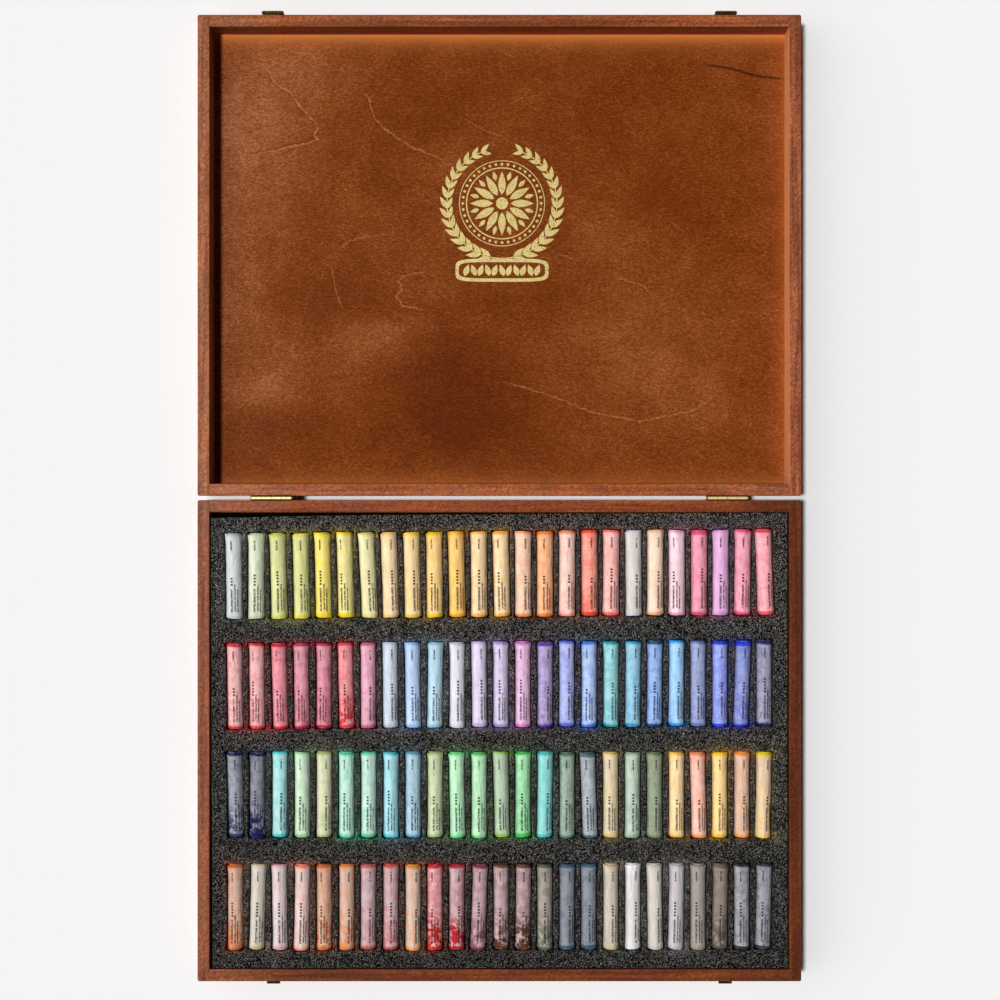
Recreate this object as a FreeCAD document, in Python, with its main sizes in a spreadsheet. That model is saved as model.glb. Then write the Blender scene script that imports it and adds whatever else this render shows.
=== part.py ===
import FreeCAD, Part
import Sketcher
import math
import os
import re
from FreeCAD import Placement, Rotation, Vector

# Hinged wooden case for soft pastels, lying open flat on a table.
# Frame: millimetres, +Z up, X along the hinge line, origin on the table under the hinge line.
# The base tray with the pastels lies on the -Y side and the empty lid on the +Y side.
# The case is sized around its contents: stick, slot, foam and rails give its width and depth.

SIZES = {
    # pastel sticks and their paper wrappers
    "stick_radius": 5.6,
    "stick_length": 64.0,
    "stick_end_bevel": 0.8,
    "wrapper_gap": 0.05,
    "wrapper_thickness": 0.25,
    "wrapper_flare": 0.6,
    "wrapper_flare_length": 5.0,
    "wrapper_end_margin": 1.3,
    # foam tray and the foam sheet under it
    "slot_side_clearance": 0.7,
    "slot_end_clearance": 1.2,
    "slot_web": 2.15,
    "foam_side_border": 11.1,
    "foam_bar": 14.9,
    "foam_front_row_bar": 18.0,
    "foam_front_bar": 13.5,
    "foam_clearance": 0.6,
    "foam_sheet_thickness": 6.0,
    "foam_tray_thickness": 12.0,
    "foam_below_rim": 2.0,
    "stick_seat_clearance": 0.3,
    # wooden frames and panels
    "rail_thickness": 9.0,
    "panel_thickness": 4.0,
    "panel_rabbet": 4.5,
    "corner_round": 1.5,
    "edge_round": 0.6,
    "rim_gap": 0.3,
    # butt hinges on the back faces
    "hinge_inset": 55.6,
    "knuckle_radius": 1.9,
    "knuckle_inset": 0.3,
    "knuckle_clearance": 0.2,
    "knuckle_end_gap": 0.1,
    "leaf_length": 30.0,
    "leaf_height": 13.5,
    "leaf_thickness": 0.9,
    "leaf_top_drop": 0.55,
    "leaf_mortise_clearance": 0.3,
    "hinge_pin_radius": 0.95,
    "hinge_pin_head_radius": 1.3,
    "hinge_pin_head_length": 0.6,
    "pin_clearance": 0.05,
    "hinge_screw_spacing": 18.0,
    "hinge_screw_drop": 7.5,
    "hinge_screw_radius": 0.8,
    "hinge_screw_length": 7.0,
    "hinge_screw_head_radius": 1.7,
    "hinge_screw_head_height": 0.75,
    "screw_point_length": 1.2,
    "screw_clearance": 0.05,
    # swing catches on the front faces
    "catch_inset": 56.3,
    "catch_plate_width": 22.4,
    "catch_plate_height": 9.5,
    "catch_plate_thickness": 0.8,
    "catch_tab_top_drop": 4.0,
    "catch_pivot_drop": 1.9,
    "catch_pivot_offset": 1.9,
    "catch_knuckle_radius": 1.5,
    "catch_barrel_width": 15.2,
    "catch_lever_knuckle_width": 7.9,
    "catch_side_gap": 0.15,
    "catch_clearance": 0.4,
    "catch_pin_radius": 0.6,
    "catch_pin_head_radius": 0.95,
    "catch_pin_head_length": 0.5,
    "lever_width": 16.0,
    "lever_thickness": 0.9,
    "lever_reach": 12.2,
    "lever_lip": 0.95,
    "lever_lip_thickness": 0.7,
    "nose_width": 10.0,
    "nose_height": 2.4,
    "nose_reach": 2.6,
    "nose_tip_height": 1.2,
    "nose_distance": 7.9,
    "nose_play": 0.5,
    "strike_width": 16.0,
    "strike_above_nose": 1.0,
    "strike_below_nose": 5.6,
    "catch_screw_inset": 1.6,
    "catch_screw_drop": 6.6,
    "strike_screw_inset": 2.6,
    "strike_screw_rise": 2.3,
    "catch_screw_radius": 0.7,
    "catch_screw_length": 6.0,
    "catch_screw_head_radius": 1.25,
    "catch_screw_head_height": 0.9,
    "strike_screw_head_height": 0.65,
}

COUNTS = {
    "sticks_per_row": 25,
    "sticks_per_set": 5,
    "rows": 4,
    "corner_fingers": 3,
    "hinge_knuckles": 4,
}

# A rounded screw head is a flat crown and a sloping shoulder: crown width and shoulder height.
HEAD_CROWN_SHARE = 0.6
HEAD_SHOULDER_SHARE = 0.8

SOLVER_ERROR = 1e-5

# Sizes that follow from the ones above; a later line may use an earlier one.
DERIVED = {
    "wrapper_bore": "stick_radius + wrapper_gap",
    "wrapper_radius": "wrapper_bore + wrapper_thickness",
    "flare_bore": "wrapper_bore + wrapper_flare",
    "flare_radius": "wrapper_radius + wrapper_flare",
    "wrapper_half_length": "stick_length / 2 - wrapper_end_margin",
    "slot_width": "2 * (flare_radius + slot_side_clearance)",
    "slot_length": "stick_length + 2 * slot_end_clearance",
    "slot_pitch": "slot_width + slot_web",
    "slot_step": "slot_length + foam_bar",
    "foam_width": "(sticks_per_row - 1) * slot_pitch + slot_width + 2 * foam_side_border",
    "foam_depth": "(rows - 1) * slot_step + slot_length + foam_front_row_bar + foam_front_bar",
    "box_width": "foam_width + 2 * (foam_clearance + rail_thickness)",
    "half_depth": "foam_depth + 2 * (foam_clearance + rail_thickness)",
    "tray_floor": "panel_thickness + foam_sheet_thickness",
    "half_height": "tray_floor + foam_tray_thickness + foam_below_rim",
    "finger_height": "half_height / corner_fingers",
    "foam_back": "rail_thickness + foam_clearance",
    "first_row": "foam_back + foam_bar + slot_length / 2",
    "front_row": "first_row + (rows - 1) * slot_step + foam_front_row_bar - foam_bar",
    "stick_height": "tray_floor + stick_seat_clearance + flare_radius",
    "back_gap": "knuckle_radius - knuckle_inset",
    "half_middle": "back_gap + half_depth / 2",
    "front_face": "back_gap + half_depth",
    "hinge_place": "box_width / 2 - hinge_inset",
    "hinge_height": "half_height + rim_gap / 2",
    "leaf_back": "knuckle_radius + knuckle_clearance",
    "leaf_front": "leaf_back - leaf_thickness",
    "mortise_depth": "leaf_back - back_gap",
    "knuckle_length": "leaf_length / hinge_knuckles",
    "catch_place": "box_width / 2 - catch_inset",
    "catch_screw_place": "catch_plate_width / 2 - catch_screw_inset",
    "strike_screw_place": "strike_width / 2 - strike_screw_inset",
    "nose_drop": "nose_distance - catch_pivot_drop - rim_gap",
    "strike_bottom": "nose_drop + nose_height / 2 + strike_below_nose",
    "strike_top": "nose_drop - nose_height / 2 - strike_above_nose",
    "strike_screw_drop": "strike_bottom - strike_screw_rise",
}

doc = FreeCAD.newDocument("PastelCase")
sheet = doc.addObject("Spreadsheet::Sheet", "Sizes")
for line, (alias, value) in enumerate({**SIZES, **COUNTS}.items(), 1):
    sheet.set(f"A{line}", alias)
    sheet.set(f"B{line}", str(value))
    sheet.setAlias(f"B{line}", alias)
doc.recompute()

parts = []


def formula(text):
    """Turn plain size names into a formula on the sheet's cells."""

    def cell(match):
        word = match.group(0)
        if word in DERIVED:
            return "(" + formula(DERIVED[word]) + ")"
        return "Sizes." + word

    return re.sub(r"[a-z_]+", cell, text)


def bind(thing, prop, text):
    thing.setExpression(prop, formula(text))


def new_part(name, x="0", y="0", z="0", turn=0):
    """A body placed by size names and turned about the vertical, in degrees."""
    body = doc.addObject("PartDesign::Body", name)
    body.Label = name
    body.Placement = Placement(Vector(), Rotation(Vector(0, 0, 1), turn))
    bind(body, ".Placement.Base.x", x)
    bind(body, ".Placement.Base.y", y)
    bind(body, ".Placement.Base.z", z)
    parts.append(body)
    return body


def new_sketch(body, name, role, shift=("0", "0", "0")):
    """An empty sketch on one of the body's origin planes, shifted in that plane's own axes."""
    plane = next(face for face in body.Origin.OriginFeatures if face.Role == role)
    sketch = body.newObject("Sketcher::SketchObject", name)
    sketch.AttachmentSupport = [(plane, "")]
    sketch.MapMode = "FlatFace"
    for axis, text in zip("xyz", shift):
        bind(sketch, f".AttachmentOffset.Base.{axis}", text)
    return sketch


def pin_point(sketch, item, which, x, y, start):
    """Hold a point of a sketch item at two distances from the sketch's origin."""
    for kind, text, value in (("DistanceX", x, start.x), ("DistanceY", y, start.y)):
        row = sketch.addConstraint(Sketcher.Constraint(kind, -1, 1, item, which, value))
        bind(sketch, f"Constraints[{row}]", text)


def add_outline(sketch, corners):
    """A closed run of straight lines through corners written as size names."""
    first = sketch.GeometryCount
    count = len(corners)
    starts = [
        Vector(math.cos(math.tau * place / count), math.sin(math.tau * place / count), 0)
        for place in range(count)
    ]
    for place in range(count):
        line = Part.LineSegment(starts[place], starts[(place + 1) % count])
        sketch.addGeometry(line, False)
    for place in range(count):
        following = first + (place + 1) % count
        sketch.addConstraint(Sketcher.Constraint("Coincident", first + place, 2, following, 1))
    for place, (x, y) in enumerate(corners):
        pin_point(sketch, first + place, 1, x, y, starts[place])


def add_rectangle(sketch, left, right, low, high):
    add_outline(sketch, [(left, low), (right, low), (right, high), (left, high)])


def add_circle(sketch, x, y, radius):
    item = sketch.addGeometry(Part.Circle(Vector(), Vector(0, 0, 1), 1), False)
    row = sketch.addConstraint(Sketcher.Constraint("Radius", item, 1))
    bind(sketch, f"Constraints[{row}]", radius)
    pin_point(sketch, item, 3, x, y, Vector())


def add_feature(body, kind, name, sketch, **settings):
    feature = body.newObject("PartDesign::" + kind, name)
    feature.Profile = sketch
    for prop, value in settings.items():
        setattr(feature, prop, value)
    body.Tip = feature
    return feature


def pad(body, name, sketch, length, reverse=False):
    feature = add_feature(body, "Pad", name, sketch, Reversed=reverse)
    bind(feature, "Length", length)
    return feature


def cut(body, name, sketch, depth, reverse=False):
    feature = add_feature(body, "Pocket", name, sketch, Reversed=reverse)
    bind(feature, "Length", depth)
    return feature


def cut_through(body, name, sketch, reverse=False):
    return add_feature(body, "Pocket", name, sketch, Type="ThroughAll", Reversed=reverse)


def turned(body, name, sketch, axis, kind="Revolution"):
    return add_feature(body, kind, name, sketch, ReferenceAxis=(sketch, [axis]), Angle=360)


def repeat(body, name, feature, sketch, count, length, second_count=None, second_length="0"):
    """Copies along the sketch's own horizontal axis, and rows of them along its vertical one."""
    pattern = repeat_along(body, name, feature, sketch, "H_Axis", count, length)
    if second_count:
        pattern.Direction2 = (sketch, ["V_Axis"])
        bind(pattern, "Occurrences2", second_count)
        bind(pattern, "Length2", second_length)
    return pattern


def repeat_along(body, name, feature, sketch, axis, count, length):
    """Copies along one of the sketch's own axes."""
    pattern = body.newObject("PartDesign::LinearPattern", name)
    pattern.Originals = [feature]
    pattern.Direction = (sketch, [axis])
    bind(pattern, "Occurrences", count)
    bind(pattern, "Length", length)
    body.Tip = pattern
    return pattern


def round_edges(body, name, feature, radius, chosen):
    """Round the edges whose own box and the part's box the test function accepts."""
    doc.recompute()
    whole = feature.Shape.BoundBox
    edges = [
        f"Edge{number}"
        for number, edge in enumerate(feature.Shape.Edges, 1)
        if chosen(edge.BoundBox, whole)
    ]
    fillet = body.newObject("PartDesign::Fillet", name)
    fillet.Base = (feature, edges)
    bind(fillet, "Radius", radius)
    body.Tip = fillet
    return fillet


def same(one, other):
    """Whether two places agree to within the sketch solver's own error."""
    return math.isclose(one, other, abs_tol=SOLVER_ERROR)


# Wooden rails. Each runs along its own X, with its outer face at y = 0 and its inner face
# towards +Y. The side rails show their fingers at the rim, the front and back rails between.


def upright_outer_corner(edge, whole):
    on_outer_face = same(edge.YMin, whole.YMin) and same(edge.YMax, whole.YMin)
    at_an_end = same(edge.XMax, whole.XMin) or same(edge.XMin, whole.XMax)
    return on_outer_face and at_an_end and not same(edge.ZMin, edge.ZMax)


def long_level_edge(edge, whole):
    """The outer edges at rim and foot, and the inner edge at the rim."""
    level = same(edge.ZMin, edge.ZMax)
    long_enough = edge.XLength > whole.XLength / 2
    at_rim = same(edge.ZMax, whole.ZMax)
    at_foot = same(edge.ZMin, whole.ZMin) and same(edge.YMax, whole.YMin)
    return level and long_enough and (at_rim or at_foot)


def rail(body, length, is_side):
    blank = new_sketch(body, "blank", "XZ_Plane")
    add_rectangle(blank, f"-{length} / 2", f"{length} / 2", "0", "half_height")
    pad(body, "rail", blank, "rail_thickness", reverse=True)

    joints = new_sketch(body, "corner_joints", "XZ_Plane")
    levels = [("finger_height", "2 * finger_height")]
    if not is_side:
        levels = [("0", "finger_height"), ("2 * finger_height", "half_height")]
    for low, high in levels:
        add_rectangle(joints, f"-{length} / 2", f"rail_thickness - {length} / 2", low, high)
        add_rectangle(joints, f"{length} / 2 - rail_thickness", f"{length} / 2", low, high)
    cut_through(body, "fingers", joints)

    groove = new_sketch(body, "panel_seat", "XY_Plane")
    half_run = f"({length} / 2 - rail_thickness)"
    if is_side:
        half_run = f"({length} / 2 - rail_thickness + panel_rabbet)"
    low = "rail_thickness - panel_rabbet"
    add_rectangle(groove, f"-{half_run}", half_run, low, "rail_thickness")
    rabbet = cut(body, "rabbet", groove, "panel_thickness", reverse=True)

    corners = round_edges(body, "corner_rounds", rabbet, "corner_round", upright_outer_corner)
    return round_edges(body, "edge_rounds", corners, "edge_round", long_level_edge)


def hinge_seats(body):
    """Shallow mortises for both leaves, with pilot holes for their screws."""
    mortises = new_sketch(body, "hinge_mortises", "XZ_Plane")
    holes = new_sketch(body, "hinge_pilots", "XZ_Plane")
    half = "(leaf_length / 2 + leaf_mortise_clearance)"
    low = "hinge_height - leaf_height - leaf_mortise_clearance"
    for place in ("-hinge_place", "hinge_place"):
        add_rectangle(mortises, f"{place} - {half}", f"{place} + {half}", low, "half_height")
        for x in (f"{place} - hinge_screw_spacing / 2", f"{place} + hinge_screw_spacing / 2"):
            radius = "hinge_screw_radius + screw_clearance"
            add_circle(holes, x, "hinge_height - hinge_screw_drop", radius)
    cut(body, "mortises", mortises, "mortise_depth")
    cut(body, "hinge_holes", holes, "back_gap + hinge_screw_length")


def screw_holes(body, places, height):
    """Pilot holes for the screws of both catches, in the rail's outer face."""
    holes = new_sketch(body, "catch_pilots", "XZ_Plane")
    for middle in ("-catch_place", "catch_place"):
        for x in (f"{middle} - {places}", f"{middle} + {places}"):
            add_circle(holes, x, height, "catch_screw_radius + screw_clearance")
    cut(body, "catch_holes", holes, "catch_screw_length")


def frame_and_panel(half, way):
    """One half of the case; way is 1 on the lid's side of the hinge line and -1 on the base's."""
    sign = "" if way > 0 else "-"
    back_turn, front_turn = (0, 180) if way > 0 else (180, 0)

    back = new_part(f"{half}_back_rail", y=f"{sign}back_gap", turn=back_turn)
    rail(back, "box_width", is_side=False)
    hinge_seats(back)

    front = new_part(f"{half}_front_rail", y=f"{sign}front_face", turn=front_turn)
    rail(front, "box_width", is_side=False)
    if way > 0:
        screw_holes(front, "catch_screw_place", "half_height - catch_screw_drop")
    else:
        screw_holes(front, "strike_screw_place", "half_height - strike_screw_drop")

    left = new_part(f"{half}_left_rail", "-box_width / 2", f"{sign}half_middle", turn=-90)
    rail(left, "half_depth", is_side=True)
    right = new_part(f"{half}_right_rail", "box_width / 2", f"{sign}half_middle", turn=90)
    rail(right, "half_depth", is_side=True)

    panel = new_part(f"{half}_panel", y=f"{sign}half_middle")
    outline = new_sketch(panel, "outline", "XY_Plane")
    half_width = "(box_width / 2 - rail_thickness + panel_rabbet)"
    half_length = "(half_depth / 2 - rail_thickness + panel_rabbet)"
    add_rectangle(outline, f"-{half_width}", half_width, f"-{half_length}", half_length)
    pad(panel, "sheet", outline, "panel_thickness")


# Butt hinges. Each is drawn about its own axis, with the leaf hanging on the +Y side.
# One leaf turned half round makes the other, so that their knuckles interleave.


def hinge_leaf(name, x, turn):
    body = new_part(name, x, z="hinge_height", turn=turn)
    half = "leaf_length / 2"
    near = "(knuckle_length - knuckle_end_gap)"
    low = "-(knuckle_radius + knuckle_clearance)"
    top = "-leaf_top_drop"
    plate = new_sketch(body, "plate", "XZ_Plane", ("0", "0", "-leaf_front"))
    add_outline(
        plate,
        [
            (f"-{half}", "-leaf_height"),
            (half, "-leaf_height"),
            (half, low),
            (near, low),
            (near, top),
            ("knuckle_end_gap", top),
            ("knuckle_end_gap", low),
            (f"{near} - {half}", low),
            (f"{near} - {half}", top),
            (f"knuckle_end_gap - {half}", top),
            (f"knuckle_end_gap - {half}", low),
            (f"-{half}", low),
        ],
    )
    pad(body, "leaf", plate, "leaf_thickness", reverse=True)

    ring = new_sketch(body, "ring", "YZ_Plane", ("0", "0", f"knuckle_end_gap - {half}"))
    add_circle(ring, "0", "0", "knuckle_radius")
    add_circle(ring, "0", "0", "hinge_pin_radius + pin_clearance")
    knuckle = pad(body, "knuckle", ring, "knuckle_length - 2 * knuckle_end_gap")
    repeat(body, "knuckles", knuckle, plate, "hinge_knuckles / 2", "2 * knuckle_length")

    holes = new_sketch(
        body, "sink", "XY_Plane", ("-hinge_screw_spacing / 2", "0", "-hinge_screw_drop")
    )
    wide = "hinge_screw_head_radius + screw_clearance"
    narrow = "hinge_screw_radius + screw_clearance"
    add_outline(
        holes,
        [
            ("0", "leaf_front - leaf_thickness"),
            (wide, "leaf_front - leaf_thickness"),
            (wide, "leaf_front"),
            (narrow, "leaf_front + hinge_screw_head_height"),
            (narrow, "leaf_back + leaf_thickness"),
            ("0", "leaf_back + leaf_thickness"),
        ],
    )
    hole = turned(body, "screw_hole", holes, "V_Axis", kind="Groove")
    repeat(body, "screw_holes", hole, holes, "2", "hinge_screw_spacing")


def headed_pin(body, half_length, radius, head_radius, head_length):
    """A pin along its own X with a small head at each end."""
    profile = new_sketch(body, "profile", "XY_Plane")
    outer = f"({half_length} + {head_length})"
    add_outline(
        profile,
        [
            (f"-{outer}", "0"),
            (f"-{outer}", head_radius),
            (f"-{half_length}", head_radius),
            (f"-{half_length}", radius),
            (half_length, radius),
            (half_length, head_radius),
            (outer, head_radius),
            (outer, "0"),
        ],
    )
    turned(body, "pin", profile, "H_Axis")


def countersunk_screws(body, head_face, inward, radius, length, head_radius, head_height):
    """A screw with its flat head at head_face, pointing along its own Y by the sign inward."""
    profile = new_sketch(body, "screw", "XY_Plane")
    add_outline(
        profile,
        [
            ("0", head_face),
            (head_radius, head_face),
            (radius, f"{head_face} {inward} {head_height}"),
            (radius, f"{head_face} {inward} ({length} - screw_point_length)"),
            ("0", f"{head_face} {inward} {length}"),
        ],
    )
    return profile, turned(body, "one_screw", profile, "V_Axis")


def four_places(body, screw, profile, spacing, distance):
    """Two screws to each fitting, and the same again at the other fitting."""
    both = repeat(body, "screws", screw, profile, "2", spacing)
    both.Direction2 = (profile, ["H_Axis"])
    bind(both, "Occurrences2", "2")
    bind(both, "Length2", distance)


def hinges():
    for side, place in (("left", "-hinge_place"), ("right", "hinge_place")):
        hinge_leaf(f"hinge_{side}_base_leaf", place, 180)
        hinge_leaf(f"hinge_{side}_lid_leaf", place, 0)
        pin = new_part(f"hinge_{side}_pin", place, z="hinge_height")
        half = "(leaf_length / 2 + knuckle_end_gap)"
        headed_pin(
            pin, half, "hinge_pin_radius", "hinge_pin_head_radius", "hinge_pin_head_length"
        )
    for half, turn, first in (
        ("base", 180, "hinge_place + hinge_screw_spacing / 2"),
        ("lid", 0, "-hinge_place - hinge_screw_spacing / 2"),
    ):
        screws = new_part(
            f"hinge_{half}_screws", first, z="hinge_height - hinge_screw_drop", turn=turn
        )
        profile, screw = countersunk_screws(
            screws,
            "leaf_front",
            "+",
            "hinge_screw_radius",
            "hinge_screw_length",
            "hinge_screw_head_radius",
            "hinge_screw_head_height",
        )
        four_places(screws, screw, profile, "hinge_screw_spacing", "2 * hinge_place")


# Swing catches. Each piece is drawn from the middle of the rail's outer face at the rim,
# with +Y away from the wood. The lever hangs from the lid's plate and, with the lid shut,
# swings half round so that its window drops over the nose of the strike on the base.


def catch_plate(name, x):
    body = new_part(name, x, "front_face", "half_height")
    outline = new_sketch(body, "outline", "XZ_Plane")
    wide = "catch_plate_width / 2"
    barrel = "(catch_barrel_width / 2 + catch_side_gap)"
    notch = "(catch_lever_knuckle_width / 2 + catch_side_gap)"
    tab = "-catch_tab_top_drop"
    top = "-catch_pivot_drop"
    low = "-(catch_pivot_drop + catch_knuckle_radius + catch_clearance)"
    add_outline(
        outline,
        [
            (f"-{wide}", "-catch_plate_height"),
            (wide, "-catch_plate_height"),
            (wide, tab),
            (barrel, tab),
            (barrel, top),
            (notch, top),
            (notch, low),
            (f"-{notch}", low),
            (f"-{notch}", top),
            (f"-{barrel}", top),
            (f"-{barrel}", tab),
            (f"-{wide}", tab),
        ],
    )
    pad(body, "plate", outline, "catch_plate_thickness", reverse=True)

    ring = new_sketch(body, "ring", "YZ_Plane", ("0", "0", "-catch_barrel_width / 2"))
    catch_ring(ring)
    length = "(catch_barrel_width - catch_lever_knuckle_width) / 2 - catch_side_gap"
    knuckle = pad(body, "knuckle", ring, length)
    step = "catch_barrel_width / 2 + catch_lever_knuckle_width / 2 + catch_side_gap"
    repeat(body, "knuckles", knuckle, outline, "2", step)

    holes = new_sketch(body, "holes", "XZ_Plane")
    for place in ("-catch_screw_place", "catch_screw_place"):
        add_circle(holes, place, "-catch_screw_drop", "catch_screw_radius + screw_clearance")
    cut_through(body, "screw_holes", holes)


def catch_ring(sketch):
    add_circle(sketch, "catch_pivot_offset", "-catch_pivot_drop", "catch_knuckle_radius")
    bore = "catch_pin_radius + pin_clearance"
    add_circle(sketch, "catch_pivot_offset", "-catch_pivot_drop", bore)


def catch_lever(name, x):
    body = new_part(name, x, "front_face", "half_height")
    near_face = "(catch_pivot_offset - lever_thickness / 2)"
    plate = new_sketch(body, "outline", "XZ_Plane", ("0", "0", f"-{near_face}"))
    neck = "catch_lever_knuckle_width / 2"
    wide = "lever_width / 2"
    top = "-(catch_pivot_drop + catch_pin_radius + 2 * pin_clearance)"
    shoulder = "-(catch_pivot_drop + catch_knuckle_radius + catch_clearance)"
    end = "-(catch_pivot_drop + lever_reach)"
    add_outline(
        plate,
        [
            (f"-{neck}", top),
            (f"-{neck}", shoulder),
            (f"-{wide}", shoulder),
            (f"-{wide}", f"{end} + lever_lip"),
            (f"lever_lip - {wide}", end),
            (f"{wide} - lever_lip", end),
            (wide, f"{end} + lever_lip"),
            (wide, shoulder),
            (neck, shoulder),
            (neck, top),
        ],
    )
    window = "(nose_width / 2 + nose_play)"
    middle = "(-catch_pivot_drop - nose_distance)"
    half_height = "(nose_height / 2 + nose_play)"
    low, high = f"{middle} - {half_height}", f"{middle} + {half_height}"
    add_rectangle(plate, f"-{window}", window, low, high)
    pad(body, "flap", plate, "lever_thickness", reverse=True)

    lip = new_sketch(body, "lip", "XZ_Plane", ("0", "0", f"-{near_face}"))
    lip_half = "(lever_width / 2 - lever_lip)"
    add_rectangle(lip, f"-{lip_half}", lip_half, end, f"{end} + lever_lip_thickness")
    pad(body, "finger_lip", lip, "lever_lip")

    ring = new_sketch(body, "ring", "YZ_Plane", ("0", "0", f"-{neck}"))
    catch_ring(ring)
    pad(body, "knuckle", ring, "catch_lever_knuckle_width")


def catch_strike(name, x):
    body = new_part(name, x, "-front_face", "half_height", turn=180)
    outline = new_sketch(body, "outline", "XZ_Plane")
    wide = "strike_width / 2"
    add_rectangle(outline, f"-{wide}", wide, "-strike_bottom", "-strike_top")
    pad(body, "plate", outline, "catch_plate_thickness", reverse=True)

    side = new_sketch(body, "nose_side", "YZ_Plane", ("0", "0", "-nose_width / 2"))
    tip = "catch_plate_thickness + nose_reach"
    top = "-nose_drop + nose_height / 2"
    low = "-nose_drop - nose_height / 2"
    add_outline(
        side, [("0", low), (tip, low), (tip, f"{low} + nose_tip_height"), ("0", top)]
    )
    pad(body, "nose", side, "nose_width")

    sink = new_sketch(
        body, "sink", "XY_Plane", ("-strike_screw_place", "0", "-strike_screw_drop")
    )
    wide_hole = "catch_screw_head_radius + screw_clearance"
    narrow_hole = "catch_screw_radius + screw_clearance"
    face = "catch_plate_thickness"
    add_outline(
        sink,
        [
            ("0", f"2 * {face}"),
            (wide_hole, f"2 * {face}"),
            (wide_hole, face),
            (narrow_hole, f"{face} - strike_screw_head_height"),
            (narrow_hole, f"-{face}"),
            ("0", f"-{face}"),
        ],
    )
    hole = turned(body, "screw_hole", sink, "V_Axis", kind="Groove")
    repeat(body, "screw_holes", hole, sink, "2", "2 * strike_screw_place")


def round_head_screws(body):
    profile = new_sketch(body, "screw", "XY_Plane")
    face = "catch_plate_thickness"
    crown = f"{face} + catch_screw_head_height"
    shoulder = f"{face} + catch_screw_head_height * {HEAD_SHOULDER_SHARE}"
    add_outline(
        profile,
        [
            ("0", crown),
            (f"catch_screw_head_radius * {HEAD_CROWN_SHARE}", shoulder),
            ("catch_screw_head_radius", face),
            ("catch_screw_radius", face),
            ("catch_screw_radius", "screw_point_length - catch_screw_length"),
            ("0", "-catch_screw_length"),
        ],
    )
    return profile, turned(body, "one_screw", profile, "V_Axis")


def catches():
    for side, place in (("left", "-catch_place"), ("right", "catch_place")):
        catch_plate(f"catch_{side}_plate", place)
        catch_lever(f"catch_{side}_lever", place)
        pin = new_part(
            f"catch_{side}_pin",
            place,
            "front_face + catch_pivot_offset",
            "half_height - catch_pivot_drop",
        )
        half = "(catch_barrel_width / 2 + catch_side_gap)"
        headed_pin(
            pin, half, "catch_pin_radius", "catch_pin_head_radius", "catch_pin_head_length"
        )
        catch_strike(f"catch_{side}_strike", place)

    lid_screws = new_part(
        "catch_lid_screws",
        "-catch_place - catch_screw_place",
        "front_face",
        "half_height - catch_screw_drop",
    )
    profile, screw = round_head_screws(lid_screws)
    four_places(lid_screws, screw, profile, "2 * catch_screw_place", "2 * catch_place")

    base_screws = new_part(
        "catch_base_screws",
        "catch_place + strike_screw_place",
        "-front_face",
        "half_height - strike_screw_drop",
        turn=180,
    )
    profile, screw = countersunk_screws(
        base_screws,
        "catch_plate_thickness",
        "-",
        "catch_screw_radius",
        "catch_screw_length",
        "catch_screw_head_radius",
        "strike_screw_head_height",
    )
    four_places(base_screws, screw, profile, "2 * strike_screw_place", "2 * catch_place")


# Foam insert: a plain sheet on the base panel, and on it a tray with one slot for each stick.
# The tray is built from plain blocks, so that its slots are open to contact as well: bars that
# cross it between the rows of slots, and in each row the webs and the two borders beside them.


def row_place(row):
    if row == COUNTS["rows"]:
        return "-(back_gap + front_row)"
    return f"-(back_gap + first_row + {row - 1} * slot_step)"


def foam_sheet():
    body = new_part("foam_base_sheet", y="-back_gap", z="panel_thickness", turn=180)
    outline = new_sketch(body, "outline", "XY_Plane")
    front = "foam_back + foam_depth"
    add_rectangle(outline, "-foam_width / 2", "foam_width / 2", "foam_back", front)
    pad(body, "sheet", outline, "foam_sheet_thickness")


def foam_bars():
    body = new_part("foam_bars", y="-back_gap", z="tray_floor", turn=180)
    left = "-foam_width / 2"
    right = "foam_width / 2"
    back = new_sketch(body, "back_bar", "XY_Plane")
    add_rectangle(back, left, right, "foam_back", "foam_back + foam_bar")
    one = pad(body, "bar", back, "foam_tray_thickness")
    reach = "(rows - 2) * slot_step"
    repeat_along(body, "bars", one, back, "V_Axis", "rows - 1", reach)
    front = new_sketch(body, "front_bars", "XY_Plane")
    row_back = "front_row - slot_length / 2"
    row_front = "front_row + slot_length / 2"
    add_rectangle(front, left, right, f"{row_back} - foam_front_row_bar", row_back)
    add_rectangle(front, left, right, row_front, f"{row_front} + foam_front_bar")
    pad(body, "front_pair", front, "foam_tray_thickness")


def foam_webs(row):
    body = new_part(f"foam_webs_row_{row}", y=row_place(row), z="tray_floor")
    half = "slot_length / 2"
    edge = "foam_width / 2"
    borders = new_sketch(body, "borders", "XY_Plane")
    add_rectangle(borders, f"-{edge}", f"foam_side_border - {edge}", f"-{half}", half)
    add_rectangle(borders, f"{edge} - foam_side_border", edge, f"-{half}", half)
    pad(body, "border_pair", borders, "foam_tray_thickness")
    web = new_sketch(body, "web", "XY_Plane")
    start = f"foam_side_border + slot_width - {edge}"
    add_rectangle(web, start, f"{start} + slot_web", f"-{half}", half)
    one = pad(body, "first_web", web, "foam_tray_thickness")
    run = "(sticks_per_row - 2) * slot_pitch"
    repeat(body, "webs", one, web, "sticks_per_row - 1", run)


def foam():
    foam_sheet()
    foam_bars()
    for row in range(1, COUNTS["rows"] + 1):
        foam_webs(row)


# Pastel sticks lie along Y, in sets of neighbours, with one paper wrapper round each.


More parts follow.
